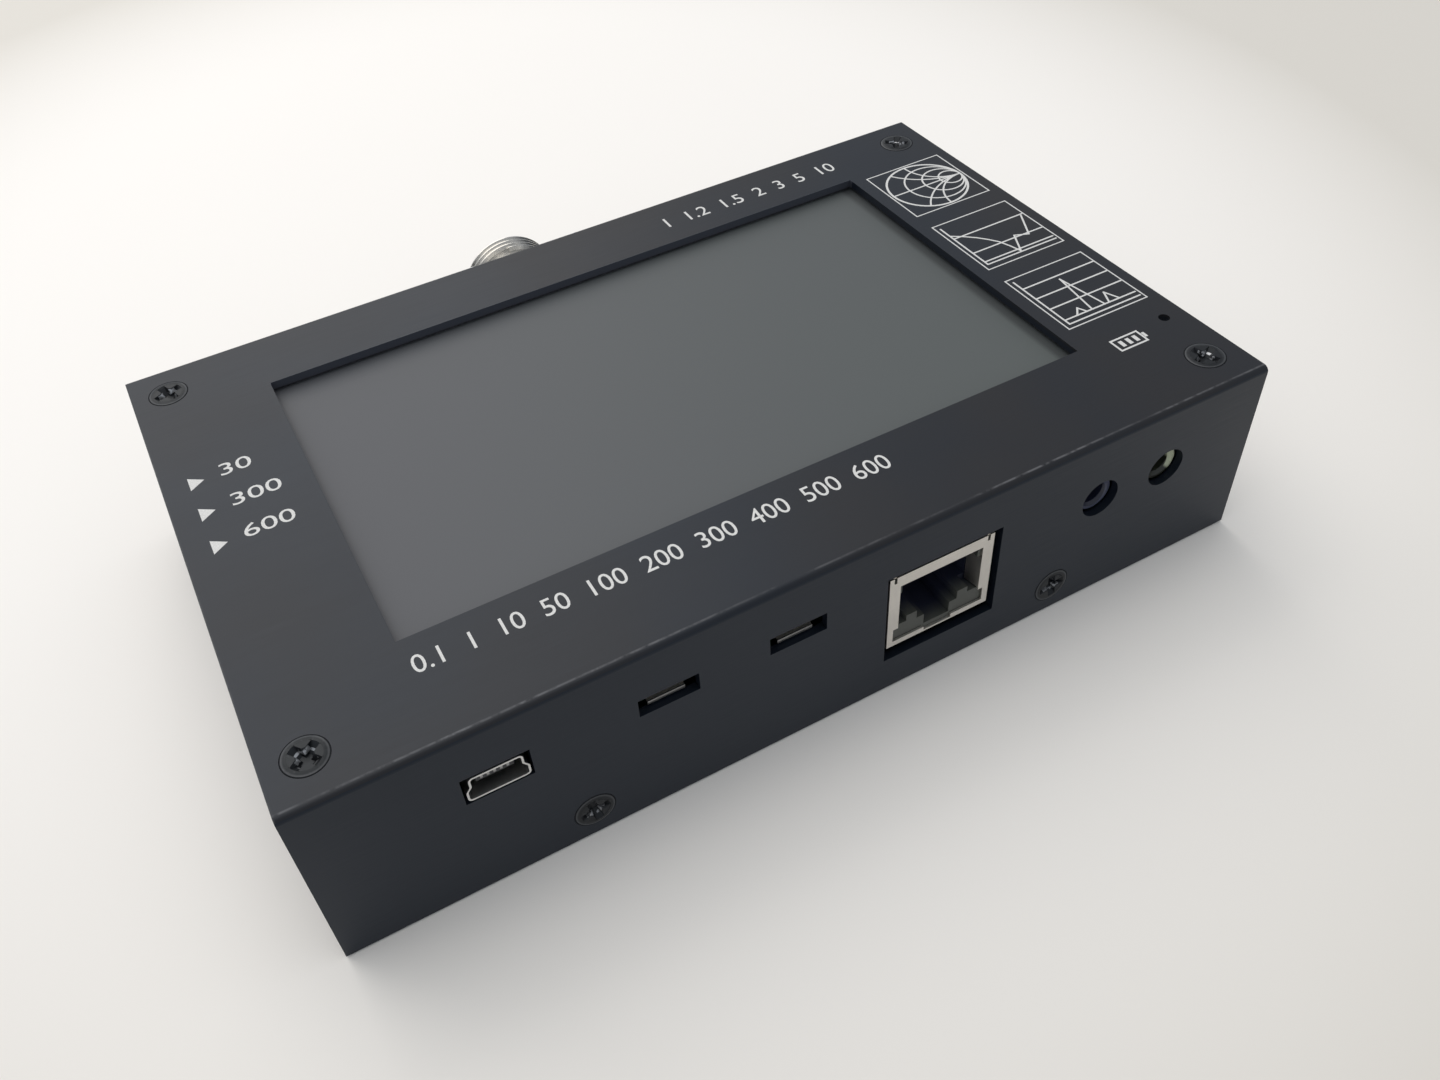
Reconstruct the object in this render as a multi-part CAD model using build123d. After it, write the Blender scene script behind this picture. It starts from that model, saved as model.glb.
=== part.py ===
from build123d import *
import os

# Antenna analyser: a folded sheet case that holds a touch display, a main board, an RF board,
# a battery and a threaded RF connector. All sizes are in millimetres. The origin is the middle
# of the case's underside, +X runs right along the front, +Y runs to the back and +Z is up.

# ---------------------------------------------------------------- case
case_width = 136.0
case_depth = 85.0
case_height = 29.0
sheet = 1.2
bend_radius = 1.6
panel_gap = 0.1           # between the cover's ends and the tray's side panels
flange_gap = 0.15         # between the cover's flanges and the tray's bottom and tabs
flange_lift = 0.3         # the flanges end this far above the ground
relief_slit = 0.4         # slit that frees the tray's bend from the front of its side panel

# ---------------------------------------------------------------- display stack
window_width = 99.0
window_depth = 56.3
window_shift = 2.1        # the window lies behind the middle of the case
gasket_thick = 0.6
gasket_land = 2.5
gasket_inset = 0.5
glass_lap_x = 3.25        # how far the glass runs on beyond the window at each side
glass_lap_y = 5.45
glass_thick = 1.1
lcd_thick = 2.9
lcd_inset = 0.5
board_thick = 1.6
board_corner = 1.5
board_edge_gap = 1.15     # boards to the inner faces of the case, sides and front
board_back_gap = 2.1      # boards to the inner face of the back, which leaves room for nuts

# ---------------------------------------------------------------- screws and spacers (M3)
screw_r = 1.45
screw_hole_r = 1.6
thread_clear = 0.05
fit_gap = 0.03            # between an insulator and the metal round it
head_r = 2.75
head_rim_height = 0.1     # straight rim of a countersunk head
head_dome_height = 0.15   # rise of a countersunk head's face
cone_height = 1.2
recess_width = 0.95
recess_reach = 1.65
recess_heart_r = 0.85      # round middle of a cross recess
recess_depth = 1.0
corner_inset_x = 5.1      # corner screws from the sides of the case
corner_inset_y = 6.4      # corner screws from the front and the back
spacer_r = 2.75
standoff_flats = 5.5
screw_tip_gap = 2.0       # between the two screws that meet in a standoff
pan_head_r = 2.75
pan_head_height = 1.8
pan_head_round = 0.6
side_screw_x = 35.1
side_screw_z = 4.95
side_screw_length = 6.0
tab_width = 12.0
tab_height = 8.6
nut_r = 2.6
nut_height = 2.0

# ---------------------------------------------------------------- indicator
led_inset_x = 3.5         # indicator hole from the right side of the case
led_inset_y = 15.85       # indicator hole from the front
led_hole_r = 0.8
pipe_r = 1.0
pipe_notch = 4.0

# ---------------------------------------------------------------- mini USB socket
mini_inset = 22.8         # socket's middle from the left side of the case
mini_width = 7.7
mini_narrow = 6.6
mini_height = 3.9
mini_depth = 9.2
mini_wall = 0.25
mini_step = 2.0           # height of the wide part of the outline
mini_side_gap = 0.35
mini_low_gap = 0.3
mini_insert_depth = 3.0   # solid rear part of the insulator
mini_tongue_width = 4.6
mini_tongue_thick = 1.1
mini_tongue_drop = 1.55   # tongue's middle below the board
mini_tongue_back = 0.9    # tongue's tip behind the shell's mouth
mini_waist = 0.35         # half the height over which the outline narrows
mini_round = 0.6

# ---------------------------------------------------------------- micro USB sockets
micro_x = (-23.5, -5.8)
micro_width = 7.5
micro_height = 2.55
micro_depth = 5.6
micro_wall = 0.3
micro_corner = 0.6
micro_set_back = 1.0      # lip's front edge behind the face of the case
micro_lip_length = 0.65
micro_lip_width = 5.0
micro_flare = 0.15        # how far the lip's front edge stands below the shell
slot_width = 8.05
slot_height = 2.9
slot_drop = 0.3           # from the board's underside to the top of the slot
micro_insert_depth = 1.8
micro_tongue_width = 4.0
micro_tongue_thick = 0.6
micro_tongue_back = 0.5

# ---------------------------------------------------------------- network socket
net_x = 15.45
net_width = 16.0
net_height = 13.0
net_depth = 21.0
net_wall = 0.3
net_mouth_width = 12.7
net_mouth_low_width = 14.2
net_mouth_drop = 1.85     # from the top of the shell to the top of the mouth
net_mouth_low = 3.15      # height above the shell's base where the mouth widens
net_strip = 0.85          # strip under the mouth
net_strip_gap = 4.3
net_corner_slit = 0.4
net_corner_in = 0.85
net_cut_left = 0.3
net_cut_right = 1.3
net_cut_top = 0.3
net_cut_below = 2.4
plug_width = 11.7
plug_height = 6.5
plug_depth = 12.5
latch_width = 6.4
latch_height = 1.4
tongue_width = 4.0
tongue_height = 1.8
net_contact_count = 8
contact_pitch = 1.02
contact_size = 0.35
contact_drop = 2.3
contact_front = 1.6       # contact's bend behind the housing's face
contact_back = 1.5        # contact's tip before the end of the plug's space
leaf_thick = 0.25         # earthing springs at both sides of the mouth
leaf_height = 5.6
leaf_drop = 2.0           # from the top of the mouth to the top of a spring
leaf_run = 2.4
leaf_room = 0.2           # free space round a spring in the housing
net_slit_length = 1.0
net_fit = 0.05            # housing inside its shell

# ---------------------------------------------------------------- audio sockets
audio_insets = (26.85, 15.5)   # sockets' middles from the right side of the case
audio_hole_r = 2.95
audio_axis_drop = 3.1     # socket axis below the main board
audio_body_width = 6.6
audio_body_depth = 11.0
audio_nose_r = 2.6
audio_nose_length = 1.6
audio_bore_r = 1.8
audio_bore_depth = 11.5
audio_chamfer = 0.45
audio_low_chamfer = 0.8

# ---------------------------------------------------------------- push buttons under the board
user_inset = 11.0         # user button from the left side of the case
reset_x = 30.5
push_y = (-20.0, 12.0)
push_size = 6.0
push_body_height = 3.4
push_r = 1.7
push_bore_gap = 0.06
push_stem = 1.2
push_travel = 0.25
push_floor = 0.6
push_corner = 0.4
push_cap_chamfer = 0.3
push_stop = 0.05          # what is left above the plunger when it is pressed home

# ---------------------------------------------------------------- headers between the boards
header_rows = (28.2, -17.8)
header_starts = (-29.0, -2.5)
header_counts = (10, 8)
header_pitch = 2.54
header_width = 2.5
pin_strip_height = 2.5

# ---------------------------------------------------------------- RF connector
rf_x = -3.8
rf_rise = 3.9             # connector's axis above the RF board
flange_margin = 1.8       # flange from the top and the underside of the case
flange_plate = 2.4
flange_hole_inset = 3.6   # flange holes from the flange's edges
flange_corner = 1.5
neck_r = 7.4
thread_r = 7.94
thread_length = 4.6
rf_reach = 16.0           # tip of the connector from the back of the case
rf_bore_r = 4.2
rf_bore_depth = 9.0
mouth_r = 5.6
mouth_depth = 1.2
rf_chamfer = 0.5
rf_tail_r = 3.6
rf_tail_length = 4.0
rf_panel_hole_gap = 0.2
centre_r = 1.5
centre_bore_r = 0.85
centre_length = 7.0
centre_slit = 0.3
centre_pin_r = 0.8
centre_pin_length = 3.0
flange_screw_length = 5.4
thin_nut_height = 1.6

# ---------------------------------------------------------------- RF board and its parts
rf_notch_gap = 0.7
can_size = (44.0, 30.0, 4.5)
can_centre = (-28.0, 5.0)
can_wall = 0.3
can_corner = 1.0
can_edge = 0.3
feed_r = 0.5
feed_bend = 2.0
feed_run = 3.0            # from the contact's tail to the wire's upright

# ---------------------------------------------------------------- chips: middle, then width, depth, height
main_chip_places = ((-2.0, 8.0), (-21.0, 16.0), (-20.5, -4.0), (15.5, 20.0), (-37.0, -5.0), (46.0, 22.0),
                    (-39.5, -24.0), (12.0, -9.0))
main_chip_sizes = ((14.0, 14.0, 1.2), (8.0, 13.0, 1.0), (8.0, 6.0, 1.6), (10.0, 10.0, 1.4), (5.0, 4.0, 1.5),
                   (6.5, 6.5, 1.0), (7.0, 7.0, 1.4), (5.0, 3.2, 0.9))
chip_edge = 0.15
rf_chip_places = ((-34.0, 5.0), (-22.0, 8.0), (-14.0, 0.0), (14.0, 8.0), (26.0, -4.0), (2.0, 18.0))
rf_chip_sizes = ((5.0, 5.0, 0.9), (4.0, 4.0, 0.9), (3.9, 4.9, 1.5), (6.2, 5.3, 1.7), (3.9, 4.9, 1.5),
                 (4.0, 4.0, 2.0))

# ---------------------------------------------------------------- battery
battery_size = (62.0, 40.0, 4.6)
battery_centre = (-20.0, 8.0)
battery_round = 2.2
pad_thick = 0.8
pad_inset = 3.0

# ---------------------------------------------------------------- power board at the right side
power_width = 15.0
power_depth = 50.0
power_centre_y = -6.0
power_lift = 3.0
power_thick = 1.6
power_gap = 0.3
power_hole_inset = 4.0
power_screw_short = 0.6   # the screws end this far above the tray
post_floor = 0.4          # solid foot of a post
led_length = 1.6
led_width = 0.8
led_height = 0.6
charge_y = -19.5
charge_width = 8.9
charge_height = 3.2
charge_depth = 7.3
charge_wall = 0.3
charge_set_back = 0.2
charge_cut = 0.35
charge_insert_depth = 1.7
charge_tongue_width = 6.7
charge_tongue_thick = 0.7
charge_tongue_back = 0.5
switch_y = 8.0
switch_body = (6.5, 13.0, 5.5)
switch_set_back = 0.4
lever_width = 3.0
lever_height = 2.2
lever_travel = 3.0
lever_stick_out = 2.0
lever_gap = 0.08
lever_root = 2.6
slot_margin = 0.4
lever_round = 0.35

# ---------------------------------------------------------------- derived places
half_w = case_width / 2
half_d = case_depth / 2
inner_w = half_w - sheet
inner_d = half_d - sheet
glass_width = window_width + 2 * glass_lap_x
glass_depth = window_depth + 2 * glass_lap_y
glass_top = case_height - sheet - gasket_thick
lcd_top = glass_top - glass_thick
board_top = lcd_top - lcd_thick
board_under = board_top - board_thick
board_w = inner_w - board_edge_gap
board_front = -inner_d + board_edge_gap
board_back = inner_d - board_back_gap
rf_z = case_height / 2
rf_top = rf_z - rf_rise
rf_under = rf_top - board_thick
standoff_length = board_under - rf_top
screw_bite = (standoff_length - screw_tip_gap) / 2
flange_size = case_height - 2 * flange_margin
flange_hole_spacing = flange_size - 2 * flange_hole_inset
push_x = (-half_w + user_inset, reset_x)
corner_x = half_w - corner_inset_x
corner_y = half_d - corner_inset_y
corners = [(sx * corner_x, sy * corner_y) for sx in (-1, 1) for sy in (-1, 1)]
led_hole_x = half_w - led_inset_x
led_hole_y = -half_d + led_inset_y
mini_x = -half_w + mini_inset
audio_x = tuple(half_w - inset for inset in audio_insets)
tab_out = inner_d - flange_gap
tab_in = tab_out - sheet
power_right = inner_w - power_gap
power_left = power_right - power_width
power_top = sheet + power_lift + power_thick
power_x = (power_left + power_right) / 2
net_top = board_under
net_base = net_top - net_height
plug_top = net_top - net_mouth_drop - net_wall
plug_base = plug_top - plug_height
latch_base = plug_base - latch_height
tongue_base = latch_base - tongue_height
lever_z = power_top + switch_body[2] / 2
nodes = {}


def block(x0, x1, y0, y1, z0, z1):
    """A box between two opposite corners."""
    return Pos((x0 + x1) / 2, (y0 + y1) / 2, (z0 + z1) / 2) * Box(x1 - x0, y1 - y0, z1 - z0)


def front_prism(outline, y_front, depth):
    """An outline drawn in X and Z, pushed back from y_front."""
    return extrude(Plane((0, y_front, 0), x_dir=(1, 0, 0), z_dir=(0, -1, 0)) * outline, amount=-depth)


def right_prism(outline, x_right, depth):
    """An outline drawn in Y and Z, pushed inwards from x_right."""
    return extrude(Plane((x_right, 0, 0), x_dir=(0, 1, 0), z_dir=(1, 0, 0)) * outline, amount=-depth)


def rod_y(x, z, radius, y0, y1):
    """A round bar along Y."""
    return Pos(x, (y0 + y1) / 2, z) * Rot(90, 0, 0) * Cylinder(radius, y1 - y0)


def rod_z(x, y, radius, z0, z1):
    """A round bar along Z."""
    return Pos(x, y, (z0 + z1) / 2) * Cylinder(radius, z1 - z0)


def folded_channel(width, height):
    """Section of a sheet folded into a U that stands on its two edges, middle of the edges at 0."""
    outer = Pos(0, height / 2) * Rectangle(width, height)
    outer = fillet(outer.vertices().group_by(Axis.Y)[-1], bend_radius)
    inner = Pos(0, (height - sheet) / 2) * Rectangle(width - 2 * sheet, height - sheet)
    inner = fillet(inner.vertices().group_by(Axis.Y)[-1], bend_radius - sheet)
    return outer - inner


def hex_bar(flats, length):
    """A hexagonal bar, standing on its end at 0."""
    return extrude(RegularPolygon(flats / 2, 6, major_radius=False), amount=length)


def flat_head_screw(length):
    """A countersunk screw that points down: its rim at 0, its face slightly domed, with a cross recess."""
    face = ThreePointArc((head_r, 0), (head_r / 2, head_dome_height * 0.75), (0, head_dome_height))
    side = Polyline((0, head_dome_height), (0, -length), (screw_r, -length), (screw_r, -cone_height),
                    (head_r, -head_rim_height), (head_r, 0))
    screw = revolve(Plane.XZ * make_face([face, side]), Axis.Z)
    return screw - Pos(0, 0, head_dome_height) * cross_recess()


def cross_recess():
    """The tapered cross that a driver fits, cut down from 0."""
    arm = loft([Rectangle(2 * recess_reach, recess_width),
                Pos(0, 0, -recess_depth) * Rectangle(recess_reach, recess_width * 0.6)])
    heart = Pos(0, 0, -recess_depth / 2) * Cone(recess_heart_r / 2, recess_heart_r, recess_depth)
    return arm + Rot(0, 0, 90) * arm + heart


def pan_head_screw(length):
    """A pan head screw that points down, its head standing on 0."""
    r, h = pan_head_r, pan_head_height
    side = [(0, h), (r - pan_head_round, h), (r, h - pan_head_round), (r, 0), (screw_r, 0),
            (screw_r, -length), (0, -length)]
    screw = revolve(Plane.XZ * make_face(Polyline(*side, close=True)), Axis.Z)
    return screw - Pos(0, 0, h) * cross_recess()


def countersink():
    """The hole that a countersunk screw seats in, cut down from 0."""
    rim = head_r + thread_clear
    side = [(0, sheet), (rim, sheet), (rim, -head_rim_height), (screw_hole_r, -cone_height - thread_clear),
            (screw_hole_r, -2 * sheet), (0, -2 * sheet)]
    return revolve(Plane.XZ * make_face(Polyline(*side, close=True)), Axis.Z)


def front_places():
    """Places on the front panel for its two screws, with Z pointing out of the panel."""
    plane = Plane((0, -half_d, 0), x_dir=(1, 0, 0), z_dir=(0, -1, 0))
    return [plane * Pos(sx * side_screw_x, side_screw_z) for sx in (-1, 1)]


def back_places():
    """Places on the back panel for its two screws, with Z pointing out of the panel."""
    plane = Plane((0, half_d, 0), x_dir=(-1, 0, 0), z_dir=(0, 1, 0))
    return [plane * Pos(sx * side_screw_x, side_screw_z) for sx in (-1, 1)]


def net_cutout():
    """Opening of the front panel round the network socket."""
    x0 = net_x - net_width / 2 - net_cut_left
    x1 = net_x + net_width / 2 + net_cut_right
    return block(x0, x1, -half_d - 1, -half_d + 2 * sheet, net_base - net_cut_below, net_top + net_cut_top)


def mini_outline(inset=0.0):
    """Outline of the mini USB shell, or one inset from it: narrow above, wide below, with a waist."""
    top, base = board_under - inset, board_under - mini_height + inset
    narrow, wide = mini_narrow / 2 - inset, mini_width / 2 - inset
    step = board_under - mini_height + mini_step
    points = [(-narrow, top), (narrow, top), (narrow, step + mini_waist), (wide, step - mini_waist),
              (wide, base), (-wide, base), (-wide, step - mini_waist), (-narrow, step + mini_waist)]
    outline = Pos(mini_x, 0) * make_face(Polyline(*points, close=True))
    return fillet(outline.vertices(), mini_round - inset)


def make_top_cover():
    """Top plate with its front and back flanges, folded from one sheet."""
    length = case_width - 2 * sheet - 2 * panel_gap
    section = Pos(0, flange_lift) * folded_channel(case_depth, case_height - flange_lift)
    cover = extrude(Plane.YZ * section, amount=length / 2, both=True)
    cover -= Pos(0, window_shift, case_height) * Box(window_width, window_depth, 4 * sheet)
    for x, y in corners:
        cover -= Pos(x, y, case_height) * countersink()
    cover -= rod_z(led_hole_x, led_hole_y, led_hole_r, case_height - 2 * sheet, case_height + 1)
    for place in front_places() + back_places():
        cover -= place * countersink()
    mini_hole = Pos(mini_x, board_under - mini_height / 2)
    mini_hole *= Rectangle(mini_width + 2 * mini_side_gap, mini_height + 2 * mini_low_gap)
    cover -= front_prism(mini_hole, -half_d - 1, 1 + 1.5 * sheet)
    for x in micro_x:
        slot = Pos(x, board_under - slot_drop - slot_height / 2) * Rectangle(slot_width, slot_height)
        cover -= front_prism(slot, -half_d - 1, 1 + 1.5 * sheet)
    cover -= net_cutout()
    for x in audio_x:
        cover -= rod_y(x, board_under - audio_axis_drop, audio_hole_r, -half_d - 1, -half_d + 2 * sheet)
    cover -= rod_y(rf_x, rf_z, rf_tail_r + rf_panel_hole_gap, half_d - 2 * sheet, half_d + 1)
    for x, z in flange_hole_places():
        cover -= rod_y(x, z, screw_hole_r, half_d - 2 * sheet, half_d + 1)
    return cover


def make_bottom_tray():
    """Bottom plate with its side panels and four screw tabs, folded from one sheet."""
    reach = inner_d - flange_gap
    section = Rot(0, 0, 180) * Pos(0, -case_height) * folded_channel(case_width, case_height)
    tray = extrude(Plane.XZ * section, amount=reach, both=True)
    side = RectangleRounded(case_depth, 2 * case_height, bend_radius)
    for x in (-half_w + sheet, half_w):
        panel = right_prism(side, x, sheet) & block(-half_w, half_w, -half_d, half_d, 0, case_height)
        ends = block(-half_w, half_w, -reach, reach, 0, 2 * bend_radius)
        tray += panel - ends
    for sy in (-1, 1):
        slit_y = sorted((sy * (reach - relief_slit), sy * reach))
        for sx in (-1, 1):
            edge = sorted((sx * (inner_w - bend_radius), sx * (half_w + 1)))
            tray -= block(*edge, *slit_y, -1, bend_radius)
    trim = right_prism(side, half_w + 1, case_width + 2)
    tray &= trim
    tray = add_tabs(tray)
    tray -= right_prism(charge_opening(), half_w + 1, 1 + 2 * sheet)
    tray -= right_prism(lever_opening(), half_w + 1, 1 + 2 * sheet)
    return tray


def add_tabs(tray):
    """Bend the four screw tabs up from the tray's bottom plate."""
    for sy in (-1, 1):
        for sx in (-1, 1):
            profile = [(tab_out, 0), (tab_out, tab_height), (tab_in, tab_height), (tab_in, 0)]
            tab = make_face(Polyline(*[(sy * y, z) for y, z in profile], close=True))
            x_mid = sx * side_screw_x
            strip = extrude(Plane((x_mid, 0, 0), x_dir=(0, 1, 0), z_dir=(1, 0, 0)) * tab,
                            amount=tab_width / 2, both=True)
            tray += strip
            hole = sorted((sy * (tab_in - 1), sy * (tab_out + 1)))
            tray -= rod_y(x_mid, side_screw_z, screw_hole_r, *hole)
    return tray


def charge_opening():
    """Opening of the right side panel for the charging socket."""
    mid = power_top + charge_height / 2
    size = (charge_width + 2 * charge_cut, charge_height + 2 * charge_cut)
    return Pos(charge_y, mid) * RectangleRounded(*size, size[1] * 0.45)


def lever_opening():
    """Opening of the right side panel for the power switch's lever."""
    size = (lever_width + lever_travel + 2 * slot_margin, lever_height + 2 * slot_margin)
    return Pos(switch_y, lever_z) * Rectangle(*size)


def flange_hole_places():
    """Centres of the RF connector's four flange holes."""
    half = flange_hole_spacing / 2
    return [(rf_x + sx * half, rf_z + sz * half) for sx in (-1, 1) for sz in (-1, 1)]


def make_display():
    """Foam gasket, touch glass and display module, stacked under the window."""
    centre = Pos(0, window_shift)
    hole = Rectangle(window_width + 2 * gasket_inset, window_depth + 2 * gasket_inset)
    ring = Rectangle(window_width + 2 * (gasket_inset + gasket_land),
                     window_depth + 2 * (gasket_inset + gasket_land)) - hole
    nodes["display_gasket"] = extrude(Pos(0, 0, glass_top) * centre * ring, amount=gasket_thick)
    glass = extrude(Pos(0, 0, lcd_top) * centre * RectangleRounded(glass_width, glass_depth, 1.0),
                    amount=glass_thick)
    nodes["touch_glass"] = chamfer(glass.edges().group_by(Axis.Z)[-1], 0.2)
    frame = RectangleRounded(glass_width - 2 * lcd_inset, glass_depth - 2 * lcd_inset, 0.8)
    nodes["lcd_module"] = extrude(Pos(0, 0, board_top) * centre * frame, amount=lcd_thick)


def board_plate(z_base):
    """A board that fills the case, with its four corner holes."""
    plate = RectangleRounded(2 * board_w, board_back - board_front, board_corner)
    plate = Pos(0, (board_front + board_back) / 2) * plate
    plate -= [Pos(x, y) * Circle(screw_hole_r) for x, y in corners]
    return extrude(Pos(0, 0, z_base) * plate, amount=board_thick)


def make_boards():
    """Main board and RF board."""
    notch_x = board_w - pipe_notch / 2 + 1
    notch = Pos(notch_x, led_hole_y, board_under) * Box(pipe_notch + 2, pipe_notch, 6 * board_thick)
    nodes["main_board"] = board_plate(board_under) - notch
    board = board_plate(rf_under)
    side = net_width / 2 + rf_notch_gap
    board -= block(net_x - side, net_x + side, -half_d, -half_d + net_depth + rf_notch_gap, 0, case_height)
    board -= block(power_left - 1, half_w, power_centre_y - power_depth / 2 - 1,
                   power_centre_y + power_depth / 2 + 1, 0, case_height)
    nodes["rf_board"] = board


def make_fixings():
    """Screws, spacers and nuts."""
    screw = flat_head_screw(case_height - board_under + screw_bite)
    nodes["top_screws"] = [Pos(x, y, case_height) * screw for x, y in corners]
    short = flat_head_screw(side_screw_length)
    nodes["front_screws"] = [place * short for place in front_places()]
    nodes["rear_screws"] = [place * short for place in back_places()]
    nut = Cylinder(nut_r, nut_height) - Cylinder(screw_r + thread_clear, nut_height)
    depth = half_d - tab_in + nut_height / 2
    nodes["clinch_nuts"] = [place * Pos(0, 0, -depth) * nut for place in front_places() + back_places()]
    spacer_length = case_height - sheet - board_top
    tube = Cylinder(spacer_r, spacer_length) - Cylinder(screw_hole_r, spacer_length)
    nodes["board_spacers"] = [Pos(x, y, board_top + spacer_length / 2) * tube for x, y in corners]
    post = hex_bar(standoff_flats, standoff_length)
    post -= Pos(0, 0, standoff_length / 2) * Cylinder(screw_r + thread_clear, standoff_length)
    nodes["board_standoffs"] = [Pos(x, y, rf_top) * post for x, y in corners]
    under = Rot(180, 0, 0) * pan_head_screw(board_thick + screw_bite)
    nodes["board_screws"] = [Pos(x, y, rf_under) * under for x, y in corners]


def make_mini_usb():
    """Mini USB socket: formed shell, and the insulator with its tongue."""
    y_front = -half_d
    outer = mini_outline()
    inner = mini_outline(mini_wall)
    nodes["mini_usb_shell"] = front_prism(outer - inner, y_front, mini_depth)
    plug = mini_outline(mini_wall + fit_gap)
    y_base = y_front + mini_depth - mini_insert_depth
    base = front_prism(plug, y_base, mini_insert_depth)
    z = board_under - mini_tongue_drop
    tongue = block(mini_x - mini_tongue_width / 2, mini_x + mini_tongue_width / 2, y_front + mini_tongue_back,
                   y_base, z - mini_tongue_thick / 2, z + mini_tongue_thick / 2)
    nodes["mini_usb_insert"] = base + tongue


def make_micro_usb():
    """Two micro USB sockets: shells with a flared lip, and their insulators."""
    shells = []
    inserts = []
    top = board_under
    mid = top - micro_height / 2
    y_front = -half_d + micro_set_back
    y_shell = y_front + micro_lip_length
    y_base = y_shell + micro_depth - micro_insert_depth
    hollow = RectangleRounded(micro_width - 2 * micro_wall, micro_height - 2 * micro_wall,
                              micro_corner - micro_wall)
    for x in micro_x:
        outer = Pos(x, mid) * RectangleRounded(micro_width, micro_height, micro_corner)
        inner = Pos(x, mid) * hollow
        shell = front_prism(outer - inner, y_shell, micro_depth)
        base = top - micro_height
        lip = [(y_shell, base + micro_wall), (y_shell, base), (y_front, base - micro_flare),
               (y_front, base - micro_flare + micro_wall)]
        flare = make_face(Polyline(*lip, close=True))
        plane = Plane((x, 0, 0), x_dir=(0, 1, 0), z_dir=(1, 0, 0))
        shell += extrude(plane * flare, amount=micro_lip_width / 2, both=True)
        shells.append(shell)
        insert = front_prism(inner, y_base, micro_insert_depth)
        insert += block(x - micro_tongue_width / 2, x + micro_tongue_width / 2, y_shell + micro_tongue_back,
                        y_base, mid + fit_gap, mid + fit_gap + micro_tongue_thick)
        inserts.append(insert)
    nodes["micro_usb_shells"] = shells
    nodes["micro_usb_inserts"] = inserts


def make_network_socket():
    """Network socket: folded metal shell, stepped housing and eight spring contacts."""
    y_front = -half_d
    x = net_x
    half = net_width / 2
    shell = block(x - half, x + half, y_front, y_front + net_depth, net_base, net_top)
    shell -= block(x - half + net_wall, x + half - net_wall, y_front + net_wall, y_front + net_depth + 1,
                   net_base + net_wall, net_top - net_wall)
    wide = net_mouth_low_width / 2
    slim = net_mouth_width / 2
    low = net_base + net_strip
    shell -= block(x - slim, x + slim, y_front - 1, y_front + 1, low, net_top - net_mouth_drop)
    shell -= block(x - wide, x + wide, y_front - 1, y_front + 1, low, net_base + net_mouth_low)
    shell -= block(x - net_strip_gap / 2, x + net_strip_gap / 2, y_front - 1, y_front + 1,
                   net_base + net_wall, net_base + 2 * net_strip)
    for sx in (-1, 1):
        slit = x + sx * (half - net_corner_in)
        shell -= block(slit - net_corner_slit / 2, slit + net_corner_slit / 2, y_front - 1,
                       y_front + net_wall, net_top - net_slit_length, net_top + 1)
        shell += side_spring(sx, y_front)
    nodes["network_shell"] = shell
    gap = net_fit
    y_in = y_front + net_wall + gap
    body = block(x - half + net_wall + gap, x + half - net_wall - gap, y_in, y_front + net_depth,
                 net_base + net_wall + gap, net_top - net_wall - gap)
    y_end = y_in + plug_depth
    body -= block(x - plug_width / 2, x + plug_width / 2, y_in - 1, y_end, plug_base, plug_top)
    body -= block(x - latch_width / 2, x + latch_width / 2, y_in - 1, y_end, latch_base, plug_base + 1)
    body -= block(x - tongue_width / 2, x + tongue_width / 2, y_in - 1, y_end, tongue_base, latch_base + 1)
    leaf_top = net_top - net_mouth_drop - leaf_drop
    for sx in (-1, 1):
        pocket = sorted((x + sx * (plug_width / 2 - 1), x + sx * (slim + leaf_thick + leaf_room)))
        body -= block(*pocket, y_in - 1, y_front + leaf_run + leaf_room,
                      leaf_top - leaf_height - leaf_room, leaf_top + leaf_room)
    nodes["network_housing"] = body
    nodes["network_contacts"] = network_contacts(y_in, y_end)


def side_spring(sx, y_front):
    """Earthing spring of the network shell: a leaf that leans back and inwards from the mouth's edge."""
    edge, tip = net_mouth_width / 2, plug_width / 2
    leaf = [(edge + leaf_thick, 0), (edge, 0), (tip, leaf_run), (tip + leaf_thick, leaf_run),
            (edge + leaf_thick, net_wall)]
    outline = make_face(Polyline(*[(net_x + sx * x, y_front + y) for x, y in leaf], close=True))
    z_mid = net_top - net_mouth_drop - leaf_drop - leaf_height / 2
    return extrude(Pos(0, 0, z_mid) * outline, amount=leaf_height / 2, both=True)


def network_contacts(y_in, y_end):
    """Spring contacts: each runs along the housing's ceiling, turns and slopes back down."""
    near, far = y_in + contact_front, y_end - contact_back
    c = contact_size
    z = plug_top
    side = [(y_end, z), (near, z), (near, z - 1.6 * c), (far, z - contact_drop), (far, z - contact_drop + c),
            (near + 2.2 * c, z - c), (y_end, z - c)]
    strip = make_face(Polyline(*side, close=True))
    first = net_x - contact_pitch * (net_contact_count - 1) / 2
    planes = [Plane((first + i * contact_pitch, 0, 0), x_dir=(0, 1, 0), z_dir=(1, 0, 0))
              for i in range(net_contact_count)]
    return [extrude(plane * strip, amount=c / 2, both=True) for plane in planes]


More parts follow.
